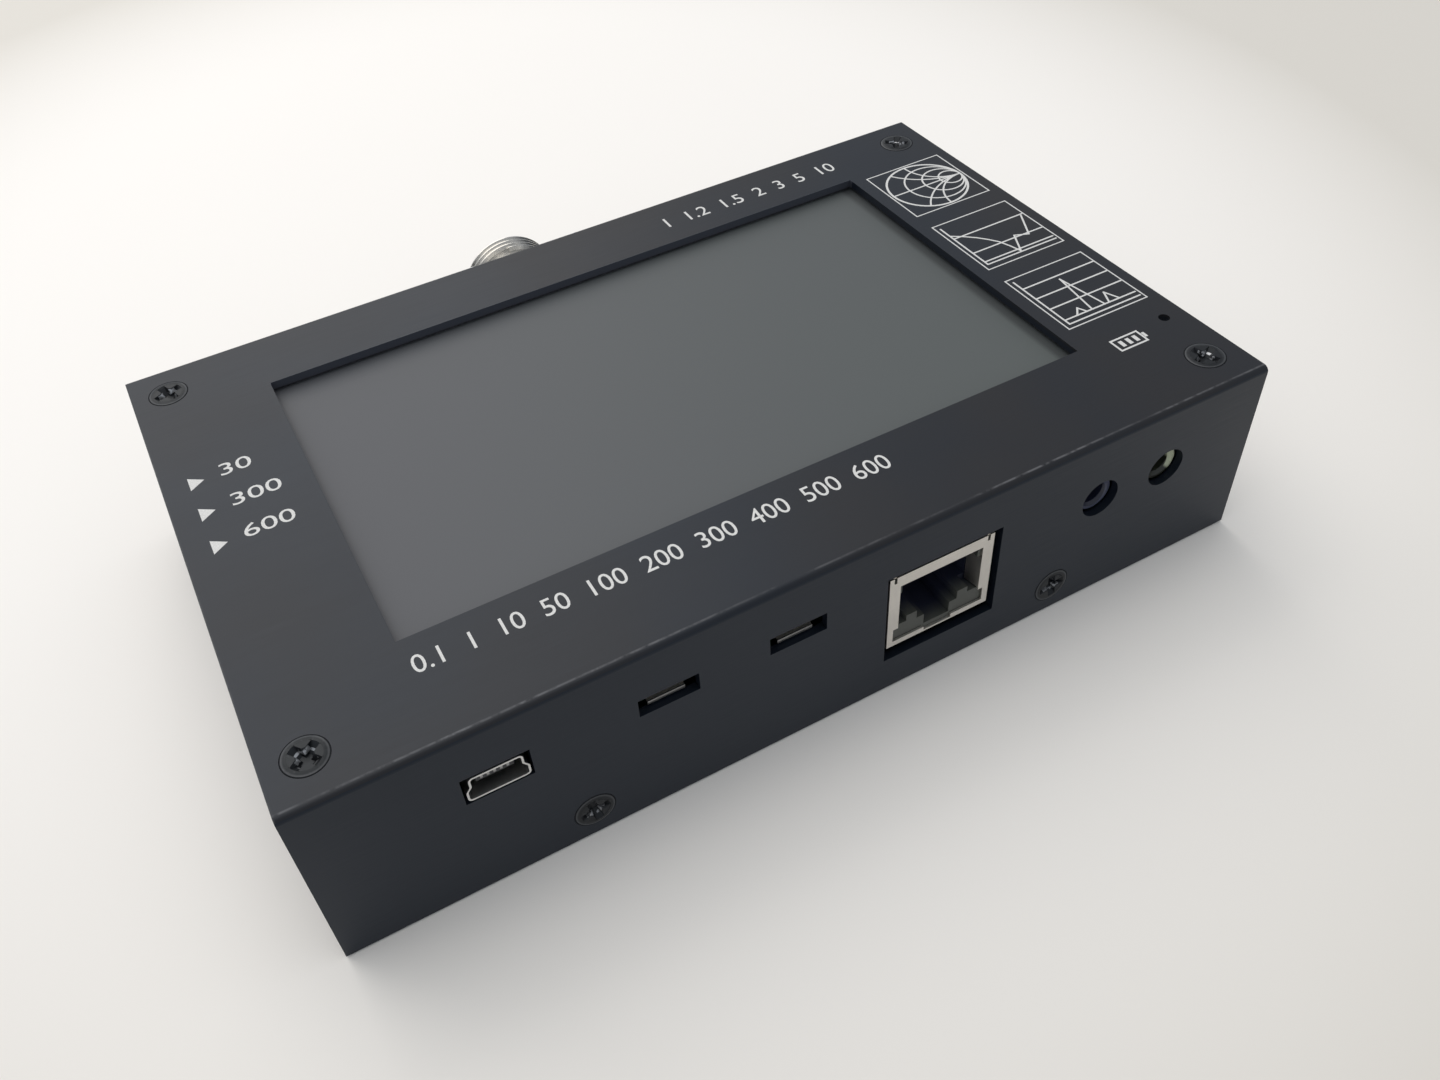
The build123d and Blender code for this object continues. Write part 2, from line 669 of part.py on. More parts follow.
def make_audio_socket(x):
    """Audio socket: square body with a round nose and a plug bore."""
    z = board_under - audio_axis_drop
    y_nose = -inner_d
    y_body = y_nose + audio_nose_length
    z_low = z - audio_body_width / 2 + 0.3
    body = block(x - audio_body_width / 2, x + audio_body_width / 2, y_body, y_body + audio_body_depth,
                 z_low, board_under)
    body = chamfer(body.edges().filter_by(Axis.Y).group_by(Axis.Z)[0], audio_low_chamfer)
    body += rod_y(x, z, audio_nose_r, y_nose, y_body + 1)
    body -= rod_y(x, z, audio_bore_r, y_nose - 1, y_nose + audio_bore_depth)
    mouth = body.edges().filter_by(GeomType.CIRCLE).group_by(Axis.Y)[0].sort_by(SortBy.RADIUS)[0]
    return chamfer(mouth, audio_chamfer)


def make_push_buttons():
    """Two push switches under the main board, each a body and a moving plunger."""
    bodies = []
    z_low = board_under - push_body_height
    for x, y in zip(push_x, push_y):
        body = block(x - push_size / 2, x + push_size / 2, y - push_size / 2, y + push_size / 2,
                     z_low, board_under)
        body = chamfer(body.edges().filter_by(Axis.Z), push_corner)
        body -= rod_z(x, y, push_r + push_bore_gap, z_low - 1, board_under - push_floor)
        bodies.append(body)
    nodes["push_switch_bodies"] = bodies
    for name, x, y in zip(("user_button", "reset_button"), push_x, push_y):
        top = board_under - push_floor - push_travel - push_stop
        cap = rod_z(x, y, push_r, z_low - push_stem, top)
        nodes[name] = chamfer(cap.edges().group_by(Axis.Z)[0], push_cap_chamfer)


def chip_blocks(places, sizes, board_face, up):
    """Chips that stand on a board's face, or hang from it."""
    chips = []
    for (x, y), (w, d, h) in zip(places, sizes):
        z0, z1 = (board_face, board_face + h) if up else (board_face - h, board_face)
        chip = block(x - w / 2, x + w / 2, y - d / 2, y + d / 2, z0, z1)
        chips.append(chamfer(chip.edges().group_by(Axis.Z)[-1 if up else 0], chip_edge))
    return chips


def make_headers():
    """Header sockets of the main board and the pin strips of the RF board."""
    sockets = []
    strips = []
    z_join = rf_top + pin_strip_height
    for y in header_rows:
        for x0, count in zip(header_starts, header_counts):
            x1 = x0 + count * header_pitch
            sockets.append(block(x0, x1, y - header_width / 2, y + header_width / 2, z_join, board_under))
            strips.append(block(x0, x1, y - header_width / 2, y + header_width / 2, rf_top, z_join))
    nodes["header_sockets"] = sockets
    nodes["header_strips"] = strips


def make_rf_parts():
    """Shield can and chips on the RF board."""
    w, d, h = can_size
    x, y = can_centre
    can = block(x - w / 2, x + w / 2, y - d / 2, y + d / 2, rf_top, rf_top + h)
    can = fillet(can.edges().filter_by(Axis.Z), can_corner)
    can = chamfer(can.edges().group_by(Axis.Z)[-1], can_edge)
    can -= block(x - w / 2 + can_wall, x + w / 2 - can_wall, y - d / 2 + can_wall, y + d / 2 - can_wall,
                 rf_top - 1, rf_top + h - can_wall)
    nodes["rf_shield_can"] = can
    nodes["rf_chips"] = chip_blocks(rf_chip_places, rf_chip_sizes, rf_top, True)


def make_rf_connector():
    """RF connector: flanged body with a threaded barrel, insulator and slotted centre contact."""
    y0 = half_d
    tip = half_d + rf_reach
    thread = tip - thread_length
    c = rf_chamfer
    side = [(rf_bore_r, y0), (neck_r, y0), (neck_r, thread), (thread_r, thread), (thread_r, tip - c),
            (thread_r - c, tip), (mouth_r, tip), (mouth_r, tip - mouth_depth),
            (rf_bore_r, tip - mouth_depth - (mouth_r - rf_bore_r)), (rf_bore_r, y0)]
    profile = make_face(Polyline(*side[:-1], close=True))
    body = revolve(Plane.XY * profile, Axis.Y)
    plate = RectangleRounded(flange_size, flange_size, flange_corner) - Circle(rf_bore_r)
    half = flange_hole_spacing / 2
    plate -= [Pos(sx * half, sz * half) * Circle(screw_hole_r) for sx in (-1, 1) for sz in (-1, 1)]
    body += extrude(Plane((0, y0, 0), x_dir=(1, 0, 0), z_dir=(0, 1, 0)) * plate, amount=flange_plate)
    nodes["rf_connector_body"] = Pos(rf_x, 0, rf_z) * body
    bore_end = tip - rf_bore_depth
    insulator = rod_y(rf_x, rf_z, rf_bore_r - fit_gap, y0, bore_end)
    insulator += rod_y(rf_x, rf_z, rf_tail_r, y0 - sheet - rf_tail_length, y0)
    insulator -= rod_y(rf_x, rf_z, centre_pin_r + fit_gap, 0, bore_end + 1)
    nodes["rf_insulator"] = insulator
    socket_tip = bore_end + centre_length
    contact = rod_y(rf_x, rf_z, centre_r, bore_end, socket_tip)
    contact = fillet(contact.edges().group_by(Axis.Y)[-1], 0.3)
    contact -= rod_y(rf_x, rf_z, centre_bore_r, bore_end + 1.5, socket_tip + 1)
    for angle in (0, 90):
        slit = Box(centre_slit, 2 * (centre_length - 2.5), 4 * centre_r)
        contact -= Pos(rf_x, socket_tip, rf_z) * Rot(0, angle, 0) * slit
    pin_end = y0 - sheet - rf_tail_length - centre_pin_length
    contact += rod_y(rf_x, rf_z, centre_pin_r, pin_end, bore_end)
    nodes["rf_centre_contact"] = contact
    make_flange_fixings()
    feed = feed_wire(pin_end)
    nodes["rf_feed_wire"] = feed


def make_flange_fixings():
    """Four screws through the RF connector's flange, with thin nuts inside the case."""
    y_head = half_d + flange_plate
    plane = Plane((0, y_head, 0), x_dir=(-1, 0, 0), z_dir=(0, 1, 0))
    screw = pan_head_screw(flange_screw_length)
    places = flange_hole_places()
    nodes["rf_flange_screws"] = [plane * Pos(-x, z) * screw for x, z in places]
    nut = hex_bar(standoff_flats, thin_nut_height) - Cylinder(screw_r + thread_clear, 4 * thin_nut_height)
    back = Plane((0, half_d - sheet, 0), x_dir=(1, 0, 0), z_dir=(0, -1, 0))
    nodes["rf_flange_nuts"] = [back * Pos(x, z) * nut for x, z in places]


def feed_wire(pin_end):
    """Short wire from the centre contact's tail down to the RF board."""
    turn = pin_end - feed_run
    path = FilletPolyline((rf_x, pin_end, rf_z), (rf_x, turn, rf_z), (rf_x, turn, rf_top), radius=feed_bend)
    section = Plane((rf_x, pin_end, rf_z), z_dir=(0, -1, 0)) * Circle(feed_r)
    return sweep(section, path=path)


def make_battery():
    """Flat battery on its foam pad."""
    w, d, h = battery_size
    x, y = battery_centre
    pad = block(x - w / 2 + pad_inset, x + w / 2 - pad_inset, y - d / 2 + pad_inset, y + d / 2 - pad_inset,
                sheet, sheet + pad_thick)
    nodes["battery_pad"] = pad
    base = sheet + pad_thick
    cell = block(x - w / 2, x + w / 2, y - d / 2, y + d / 2, base, base + h)
    nodes["battery"] = fillet(cell.edges().filter_by(Axis.X), battery_round)


def make_power_board():
    """Charging board with its socket, indicator, light pipe and slide switch."""
    y0 = power_centre_y - power_depth / 2
    y1 = power_centre_y + power_depth / 2
    plate = block(power_left, power_right, y0, y1, sheet + power_lift, power_top)
    posts = []
    screws = []
    x = power_left + power_hole_inset
    for y in (y0 + power_hole_inset, y1 - power_hole_inset):
        plate -= rod_z(x, y, screw_hole_r, 0, case_height)
        post = rod_z(x, y, spacer_r, sheet, sheet + power_lift)
        posts.append(post - rod_z(x, y, screw_r + thread_clear, sheet + post_floor, case_height))
        screws.append(Pos(x, y, power_top) * pan_head_screw(power_thick + power_lift - power_screw_short))
    nodes["power_board"] = plate
    nodes["power_board_posts"] = posts
    nodes["power_board_screws"] = screws
    led_top = power_top + led_height
    nodes["charge_led"] = block(led_hole_x - led_length / 2, led_hole_x + led_length / 2,
                                led_hole_y - led_width / 2, led_hole_y + led_width / 2, power_top, led_top)
    nodes["light_pipe"] = rod_z(led_hole_x, led_hole_y, pipe_r, led_top, case_height - sheet)


def make_charge_socket():
    """Charging socket at the right side: oval shell and its insulator with a tongue."""
    x_front = half_w - charge_set_back
    mid = power_top + charge_height / 2
    outer = Pos(charge_y, mid) * RectangleRounded(charge_width, charge_height, charge_height * 0.42)
    hollow_height = charge_height - 2 * charge_wall
    hollow = RectangleRounded(charge_width - 2 * charge_wall, hollow_height, hollow_height * 0.42)
    inner = Pos(charge_y, mid) * hollow
    nodes["charge_socket_shell"] = right_prism(outer - inner, x_front, charge_depth)
    x_insert = x_front - charge_depth + charge_insert_depth
    insert = right_prism(inner, x_insert, charge_insert_depth)
    tongue = Pos(charge_y, mid) * Rectangle(charge_tongue_width, charge_tongue_thick)
    x_tip = x_front - charge_tongue_back
    insert += right_prism(tongue, x_tip, x_tip - x_insert)
    nodes["charge_socket_insert"] = insert


def make_power_switch():
    """Slide switch: a body behind the side panel, and a lever that passes through its slot."""
    w, d, h = switch_body
    x_face = inner_w - switch_set_back
    body = block(x_face - w, x_face, switch_y - d / 2, switch_y + d / 2, power_top, power_top + h)
    run = lever_width + lever_travel + 2 * lever_gap
    tall = lever_height + 2 * lever_gap
    root = lever_root
    body -= block(x_face - root - lever_gap, x_face + 1, switch_y - run / 2, switch_y + run / 2,
                  lever_z - tall / 2, lever_z + tall / 2)
    nodes["power_switch_body"] = body
    y0 = switch_y - lever_travel / 2 - lever_width / 2
    lever = block(x_face - root, half_w + lever_stick_out, y0, y0 + lever_width,
                  lever_z - lever_height / 2, lever_z + lever_height / 2)
    nodes["power_switch_lever"] = fillet(lever.faces().sort_by(Axis.X)[-1].edges(), lever_round)


def build():
    """Make every node."""
    nodes["top_cover"] = make_top_cover()
    nodes["bottom_tray"] = make_bottom_tray()
    make_display()
    make_boards()
    make_fixings()
    make_mini_usb()
    make_micro_usb()
    make_network_socket()
    nodes["audio_socket_left"] = make_audio_socket(audio_x[0])
    nodes["audio_socket_right"] = make_audio_socket(audio_x[1])
    make_push_buttons()
    nodes["main_chips"] = chip_blocks(main_chip_places, main_chip_sizes, board_under, False)
    make_headers()
    make_rf_parts()
    make_rf_connector()
    make_battery()
    make_power_board()
    make_charge_socket()
    make_power_switch()


def write(folder):
    """Write one STEP file per node."""
    os.makedirs(folder, exist_ok=True)
    for name, shape in nodes.items():
        solids = shape if isinstance(shape, list) else [shape]
        solids = [solid for part in solids for solid in part.solids()]
        export_step(Compound(children=solids) if len(solids) > 1 else solids[0], f"{folder}/{name}.step")


build()
write("parts")
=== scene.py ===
import math

import bmesh
import bpy
from mathutils import Matrix, Vector


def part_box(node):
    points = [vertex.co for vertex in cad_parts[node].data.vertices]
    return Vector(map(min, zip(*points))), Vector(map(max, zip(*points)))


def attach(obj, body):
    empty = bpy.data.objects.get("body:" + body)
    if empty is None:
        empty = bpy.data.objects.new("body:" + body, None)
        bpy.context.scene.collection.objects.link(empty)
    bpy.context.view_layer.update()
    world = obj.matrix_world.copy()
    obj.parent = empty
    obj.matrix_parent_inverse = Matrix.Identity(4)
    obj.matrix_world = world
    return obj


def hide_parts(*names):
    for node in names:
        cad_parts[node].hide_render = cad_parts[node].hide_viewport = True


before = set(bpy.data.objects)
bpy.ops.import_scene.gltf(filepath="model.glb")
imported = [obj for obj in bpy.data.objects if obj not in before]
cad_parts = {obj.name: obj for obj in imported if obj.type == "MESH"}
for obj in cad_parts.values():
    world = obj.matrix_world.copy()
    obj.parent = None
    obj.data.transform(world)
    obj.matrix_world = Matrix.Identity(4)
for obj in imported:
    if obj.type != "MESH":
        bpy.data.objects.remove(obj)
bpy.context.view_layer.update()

bl_info = {
    "name": "Antenna analyser looks",
    "version": (1, 0, 0),
    "blender": (4, 5, 0),
    "location": "View3D > Sidebar > Analyser",
    "description": "Finishes, printed marks, threads and sockets of a desk antenna analyser",
    "category": "Object",
}

MM = 0.001
CASE_BODY = "case"
MERGE = 0.001 * MM        # points of a CAD copy nearer than this are one point
NEAR = 0.01 * MM          # points nearer than this to a shape of the CAD belong to it
ON_PLANE = 1e-7           # points nearer than this to a cut, in metres, lie on it
FLAT = math.radians(0.3)  # faces that meet at less than this are one face
SHARP = math.radians(35)  # edges that turn by more than this are sharp

# The case
PLATE_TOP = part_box("top_cover")[1].z
FACE_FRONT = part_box("top_cover")[0].y
COVER_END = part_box("bottom_tray")[1].x
WINDOW_END = 49.55 * MM   # right and left ends of the display window
WINDOW_BACK = 30.3 * MM   # rear edge of the display window
BEND_R = 1.6 * MM         # outer radius of the CAD cover's bends
TIGHT_R = 0.9 * MM        # the radius that they are drawn to
PANEL_IN = 66 * MM        # the tray's side panels lie wholly beyond this
PANEL_REACH = 41.1 * MM   # the panels end here, behind the cover's flanges
PANEL_TOP = 27.6 * MM     # and here, under the cover's plate

# The countersunk screws
HEAD_R = 2.75 * MM
HEAD_RISE = 0.135 * MM    # how far the middle of a head stands above its rim
HEAD_ROUND = 0.45 * MM    # width of the rounding along a head's rim
HEAD_LIP = 0.008 * MM     # how far beyond the rim the rounding starts
HEAD_SWELL = 0.6          # power of that rounding's curve
HEAD_EDGE = 0.09 * MM     # rounding of a head's sharp edges
RECESS_R = 1.85 * MM
RECESS_DEPTH = 0.9 * MM
RECESS_FLARE = 0.22       # how much wider a recess is at its mouth
SCREW_TURNS = {"top": (38, 22, 17, 50), "front": (12, 8), "rear": (31, -14)}


# ---- shader maths
def math_method(operation, reflected=False):
    """A method of Wire that adds one Math node, with the wire first or last."""
    def method(wire, other=0.0):
        first, second = (other, wire) if reflected else (wire, other)
        return wire.finish.node("ShaderNodeMath", {"operation": operation}, {0: first, 1: second})

    return method


class Wire:
    """A shader socket that joins in arithmetic: an expression on it adds its Math nodes."""

    def __init__(self, finish, socket):
        self.finish = finish
        self.socket = socket

    __add__ = math_method("ADD")
    __radd__ = math_method("ADD", reflected=True)
    __sub__ = math_method("SUBTRACT")
    __rsub__ = math_method("SUBTRACT", reflected=True)
    __mul__ = math_method("MULTIPLY")
    __rmul__ = math_method("MULTIPLY", reflected=True)
    __pow__ = math_method("POWER")
    __gt__ = math_method("GREATER_THAN")
    __lt__ = math_method("LESS_THAN")
    __abs__ = math_method("ABSOLUTE")


class Finish:
    """One material, and the nodes that vary it over a surface."""

    def __init__(self, name, roughness=0.5, metallic=0.0, **fixed):
        self.material = bpy.data.materials.new(name)
        self.material.use_nodes = True
        self.tree = self.material.node_tree
        self.shader = self.tree.nodes["Principled BSDF"]
        self.place = self.node("ShaderNodeTexCoord", output="Object")
        self.feed("Roughness", roughness)
        self.feed("Metallic", metallic)
        for socket, value in fixed.items():
            self.feed(socket.replace("_", " ").title().replace("Ior", "IOR"), value)

    def find(self, sockets, key):
        """A socket by its number, identifier or name."""
        if isinstance(key, int):
            return sockets[key]
        return next(s for s in sockets if key in (s.identifier, s.name))

    def node(self, kind, settings=None, sockets=None, output=0):
        """Add a node: its settings first, then the values or links of its sockets."""
        made = self.tree.nodes.new(kind)
        for key, value in (settings or {}).items():
            setattr(made, key, value)
        for key, value in (sockets or {}).items():
            self.join(self.find(made.inputs, key), value)
        return Wire(self, self.find(made.outputs, output))

    def join(self, socket, value):
        """Link a wire to a socket, or set the socket's own value."""
        if isinstance(value, Wire):
            self.tree.links.new(value.socket, socket)
        elif socket.type == "RGBA":
            socket.default_value = (*value[:3], 1)
        else:
            socket.default_value = value

    def feed(self, name, value):
        """Give one of the shader's own sockets a value or a wire."""
        self.join(self.find(self.shader.inputs, name), value)

    def axis(self, name):
        """One coordinate in object space, in metres."""
        return self.node("ShaderNodeSeparateXYZ", None, {"Vector": self.place}, name)

    def noise(self, scale, stretch=(1, 1, 1), detail=3.0):
        """Noise in object space. Scale is in cycles per metre, and stretch scales each axis."""
        place = self.node("ShaderNodeMapping", None, {"Vector": self.place, "Scale": stretch})
        sockets = {"Vector": place, "Scale": scale, "Detail": detail}
        return self.node("ShaderNodeTexNoise", None, sockets)

    def cells(self, scale, settings=None):
        """Distance to the middle of the nearest cell, in object space."""
        sockets = {"Vector": self.place, "Scale": scale}
        return self.node("ShaderNodeTexVoronoi", settings, sockets, "Distance")

    def spread(self, wire, low, high):
        """Stretch the part of a wire between low and high over 0 to 1."""
        sockets = {"Value": wire, "From Min": low, "From Max": high}
        return self.node("ShaderNodeMapRange", {"clamp": True}, sockets)

    def blend(self, factor, first, second):
        """Mix two colours."""
        sockets = {"Factor_Float": factor, "A_Color": first, "B_Color": second}
        return self.node("ShaderNodeMix", {"data_type": "RGBA"}, sockets, "Result_Color")

    def surface(self, colour, roughness, height, distance, strength):
        """Feed the shader's colour, its roughness and a bump, and return the material."""
        self.feed("Base Color", colour)
        self.feed("Roughness", roughness)
        sockets = {"Height": height, "Distance": distance, "Strength": strength}
        self.feed("Normal", self.node("ShaderNodeBump", None, sockets))
        return self.material


def tint(colour, shares):
    """A colour with each of its channels scaled."""
    return [channel * share for channel, share in zip(colour, shares)]


COOL_SHEEN = (0.81, 0.89, 1.0)
WARM_REFLECTION_SHARES = (2.6, 1.4, 0.75)       # colour of the painted warm reflection, in patches on top, against the paint's own
# Paler paint of the worn cover ends, and of the painted highlight along the front bend
WEAR_AND_HIGHLIGHT_PAINT = (0.09, 0.09, 0.095)
LIT_WALL_PAINT = (0.050, 0.054, 0.068)    # painted light on the window's rear wall, which faces the front
TOP_SKIN = 0.4 * MM                  # what lies nearer to the plate's face than this is on top
BEND_HIGHLIGHT = (0.06 * MM, 0.20 * MM)   # half the painted highlight line's width, and half with its soft edges
END_WEAR = (0.22 * MM, 0.10 * MM)    # how far in the wear of the cover's ends begins and is whole
WALL_DEPTH = 2 * MM                  # from the plate's face to the foot of the wall
WALL_SKIN = 0.6 * MM                 # what lies nearer to the wall's face than this belongs to it


def sheet_paint(look):
    """Black satin finish on folded sheet: fine grain along X, worn ends, and painted light: a warm
    reflection in patches on top, a highlight along the front bend and a lit rear wall of the
    window.
    """
    finish = Finish("sheet_paint", ior=look.sheen_index, specular_tint=COOL_SHEEN)
    x, y, z = (finish.axis(name) for name in "XYZ")
    grain = finish.noise(5200, stretch=(0.02, 1, 1), detail=4)
    fine = finish.noise(9000, detail=2)
    cloud = finish.spread(finish.noise(26, detail=2), 0.35, 0.65)
    patchiness = finish.spread(finish.noise(900), 0.3, 0.55)
    patchiness = patchiness * finish.spread(finish.noise(90, detail=4), 0.36, 0.6)
    on_top = z > PLATE_TOP - TOP_SKIN
    warm_reflection = tint(look.paint_colour, WARM_REFLECTION_SHARES)
    # Painted reflection: warm patches on the top only, standing in for the warm light that it
    # reflects
    shade = finish.blend((cloud * 0.7 + grain * 0.3) * on_top, look.paint_colour, warm_reflection)
    # Painted highlight: a pale line along the top of the front bend
    bend_highlight = 1 - finish.spread(abs(y - (FACE_FRONT + look.bend_line)), *BEND_HIGHLIGHT)
    ends = finish.spread(abs(x), *(COVER_END - wear for wear in END_WEAR))
    # Paler marks: wear at the cover's ends, and the painted highlight along the bend, broken up by
    # patchiness
    paler = (bend_highlight + ends * 0.4) * patchiness * on_top
    shade = finish.blend(paler, shade, WEAR_AND_HIGHLIGHT_PAINT)
    # Painted light: the window's rear wall, lit from the front, is paler than the rest of the paint
    wall = (y > WINDOW_BACK - WALL_SKIN) * (y < WINDOW_BACK) * (z > PLATE_TOP - WALL_DEPTH)
    shade = finish.blend(wall * (abs(x) < WINDOW_END), shade, LIT_WALL_PAINT)
    roughness = look.paint_roughness - 0.08 + grain * 0.16 + cloud * 0.04
    return finish.surface(shade, roughness, grain * 0.7 + fine * 0.3, 0.012 * MM, 0.6)


def metal(name, colour, roughness, scale, stretch=(1, 1, 1), shift=0.25):
    """Bare or plated metal: slightly uneven in shade and gloss along its grain."""
    finish = Finish(name, metallic=1.0)
    grain = finish.noise(scale, stretch, detail=4)
    blotch = finish.spread(finish.noise(300, detail=2), 0.25, 0.75)
    dull = [c * (1 - shift) for c in colour]
    shade = finish.blend(blotch * 0.4 + grain * 0.6, dull, colour)
    roughness = roughness - 0.05 + grain * 0.08 + blotch * 0.03
    return finish.surface(shade, roughness, grain, 0.004 * MM, 0.4)


OILY_BLACK = (0.006, 0.0065, 0.008)
OIL_SHEEN = (0.88, 0.945, 1.0)
BARE_STEEL = (0.50, 0.51, 0.53)
BARE_SHARE = {"top": 0.8, "front": 0.4, "rear": 0.4}
SCRAPED_RING = (0.45 * MM, 1.4 * MM)    # how far from a screw's axis its recess is scraped
SCRAPED_DEPTH = (0.10 * MM, 0.7 * MM)   # and how deep
RIM_HIGHLIGHT = (0.42 * MM, 0.22 * MM)       # how far inside its edge a head's painted highlight ring begins and is whole
RIM_END = 0.13 * MM                     # and where the highlight ring stops
RIM_DULL = 0.11 * MM                    # what lies nearer to the edge than this is dull


def screw_reach(side):
    """How far a side's screws stand from the middle of the case along X and Y, and their height."""
    low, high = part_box(f"{side}_screws")
    return (high.x - low.x) / 2 - HEAD_R, (high.y - low.y) / 2 - HEAD_R, (low.z + high.z) / 2


def head_places(side):
    """The way a side's screws face, and a turn for the middle of each head's rim."""
    reach_x, reach_y, height = screw_reach(side)
    if side == "top":
        middles = [(x, y, PLATE_TOP) for x in (-reach_x, reach_x) for y in (-reach_y, reach_y)]
        return (0, 0, 1), dict(zip(middles, SCREW_TURNS[side]))
    out = -1 if side == "front" else 1
    middles = [(x, abs(FACE_FRONT) * out, height) for x in (-reach_x, reach_x)]
    return (0, out, 0), dict(zip(middles, SCREW_TURNS[side]))


def black_oxide(side):
    """Steel of one side's screws: oily black, bare where the driver has turned, and a painted
    highlight ring inside each head's rim.
    """
    finish = Finish(f"{side}_screw_black", ior=1.37, specular_tint=OIL_SHEEN)
    x, y, z = (finish.axis(name) for name in "XYZ")
    low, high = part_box(f"{side}_screws")
    reach_x, reach_y, height = screw_reach(side)
    across = abs(x) - reach_x
    if side == "top":
        along, depth = abs(y) - reach_y, high.z - z
    else:
        along, depth = z - height, y - low.y if side == "front" else high.y - y
    off_axis = (across ** 2 + along ** 2) ** 0.5
    paler = finish.spread(finish.noise(2600, detail=4), 0.60, 0.72)
    ring = (off_axis > SCRAPED_RING[0]) * (off_axis < SCRAPED_RING[1])
    deep = (depth > SCRAPED_DEPTH[0]) * (depth < SCRAPED_DEPTH[1])
    scraped = ring * deep * finish.spread(finish.noise(1300, detail=3), 0.45, 0.53)
    # Painted highlight: a pale, partly metallic ring just inside each head's rim
    rim = finish.spread(off_axis, *(HEAD_R - wear for wear in RIM_HIGHLIGHT))
    rim = rim * (off_axis < HEAD_R - RIM_END)
    bare_and_highlight = scraped * BARE_SHARE[side] + rim * 0.11 + paler * 0.04
    shade = finish.blend(bare_and_highlight, OILY_BLACK, BARE_STEEL)
    dull = (off_axis > HEAD_R - RIM_DULL) * 0.4
    roughness = 0.42 - scraped * 0.10 + paler * 0.06 + dull
    finish.feed("Metallic", scraped * 0.9 + rim * 0.4)
    return finish.surface(shade, roughness, finish.noise(5000), 0.012 * MM, 0.6)


def moulded(name, colour, roughness, grain_scale=6000, shift=0.3):
    """Moulded plastic: a fine spark grain, and a slow change of shade from the mould's flow."""
    finish = Finish(name)
    grain = finish.noise(grain_scale, detail=2)
    flow = finish.spread(finish.noise(220, stretch=(1, 0.5, 1)), 0.3, 0.7)
    shade = finish.blend(flow, [c * (1 - shift) for c in colour], colour)
    return finish.surface(shade, roughness - 0.05 + grain * 0.1, grain, 0.01 * MM, 0.45)


MAUVE_SHARES = (0.95, 0.90, 0.94)
GREEN_SHARES = (1.0, 1.04, 0.95)
WALL_SHADE = (0.02, 0.022, 0.026)


def touch_film(look):
    """Unlit touch display under its film: soft grey, with a faint cast from mauve to green, and
    painted shade along its right edge.
    """
    finish = Finish("touch_film", ior=1.4)
    drift = finish.spread(finish.noise(14, detail=1), 0.35, 0.65)
    side = finish.spread(finish.axis("X"), -WINDOW_END, WINDOW_END)
    sparkle = finish.noise(9000, detail=1)
    shade = finish.blend(side * 0.75 + drift * 0.25, tint(look.glass_colour, MAUVE_SHARES),
                         tint(look.glass_colour, GREEN_SHARES))
    # Painted shade: darker along the right edge, where the window's wall shades the film
    soft = [WINDOW_END - look.margin * share for share in (1.3, 0.7)]
    margin = finish.spread(finish.axis("X"), *soft)
    shade = finish.blend(margin * 0.6, shade, WALL_SHADE)
    roughness = look.glass_roughness - 0.02 + sparkle * 0.04
    return finish.surface(shade, roughness, sparkle, 0.004 * MM, 0.3)


def board_mask():
    """Solder mask over copper tracks: the tracks stand out a little and look lighter."""
    finish = Finish("board_mask", coat_weight=0.4, coat_roughness=0.2)
    cell = finish.cells(420, {"distance": "CHEBYCHEV", "feature": "F1"})
    track = finish.spread(cell, 0.44, 0.5)
    weave = finish.noise(3000, detail=2)
    shade = finish.blend(track, (0.008, 0.05, 0.022), (0.03, 0.13, 0.05))
    return finish.surface(shade, 0.42 + weave * 0.12, track * 0.8 + weave * 0.2, 0.03 * MM, 0.6)


def foam():
    """Closed-cell foam: dark, matt and full of small pores."""
    finish = Finish("foam")
    pore = finish.cells(2600)
    shade = finish.blend(pore, (0.022, 0.023, 0.028), (0.05, 0.052, 0.06))
    return finish.surface(shade, 0.88 + pore * 0.1, pore, 0.12 * MM, 0.8)


def ink(look):
    """Screen-printed white ink: opaque, with a slightly thinner edge and grain."""
    finish = Finish("white_ink")
    thin = finish.spread(finish.noise(5200, detail=3), 0.35, 0.6)
    shade = finish.blend(thin, [c * 0.82 for c in look.ink_colour], look.ink_colour)
    return finish.surface(shade, 0.5 + thin * 0.15, thin, 0.006 * MM, 0.4)


def foil():
    """Crinkled silver wrap of a flat cell."""
    finish = Finish("foil_wrap", metallic=0.85)
    crinkle = finish.noise(150, detail=6)
    shade = finish.blend(crinkle, (0.42, 0.42, 0.44), (0.66, 0.66, 0.68))
    return finish.surface(shade, 0.3 + crinkle * 0.2, crinkle, 0.4 * MM, 0.5)


def clear_plastic():
    """Clear moulded plastic of the light guide, faintly clouded."""
    finish = Finish("clear_plastic", ior=1.49)
    haze = finish.noise(900, detail=2)
    finish.feed("Base Color", finish.blend(haze, (0.55, 0.57, 0.58), (0.75, 0.77, 0.78)))
    finish.feed("Roughness", 0.12 + haze * 0.2)
    finish.feed("Alpha", 0.45 + haze * 0.2)
    return finish.material


# ---- mesh helpers
def dress(material, *nodes):
    """Give CAD nodes a material."""
    for name in nodes:
        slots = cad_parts[name].data.materials
        slots.clear()
        slots.append(material)


def copy_node(node):
    """A merged copy of a CAD node's mesh, ready to be shaped."""
    bm = bmesh.new()
    bm.from_mesh(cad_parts[node].data)
    bmesh.ops.remove_doubles(bm, verts=bm.verts, dist=MERGE)
    return bm


def merge_flats(bm):
    """Make one face of those that lie in one plane."""
    bmesh.ops.dissolve_limit(bm, angle_limit=FLAT, verts=bm.verts, edges=bm.edges)


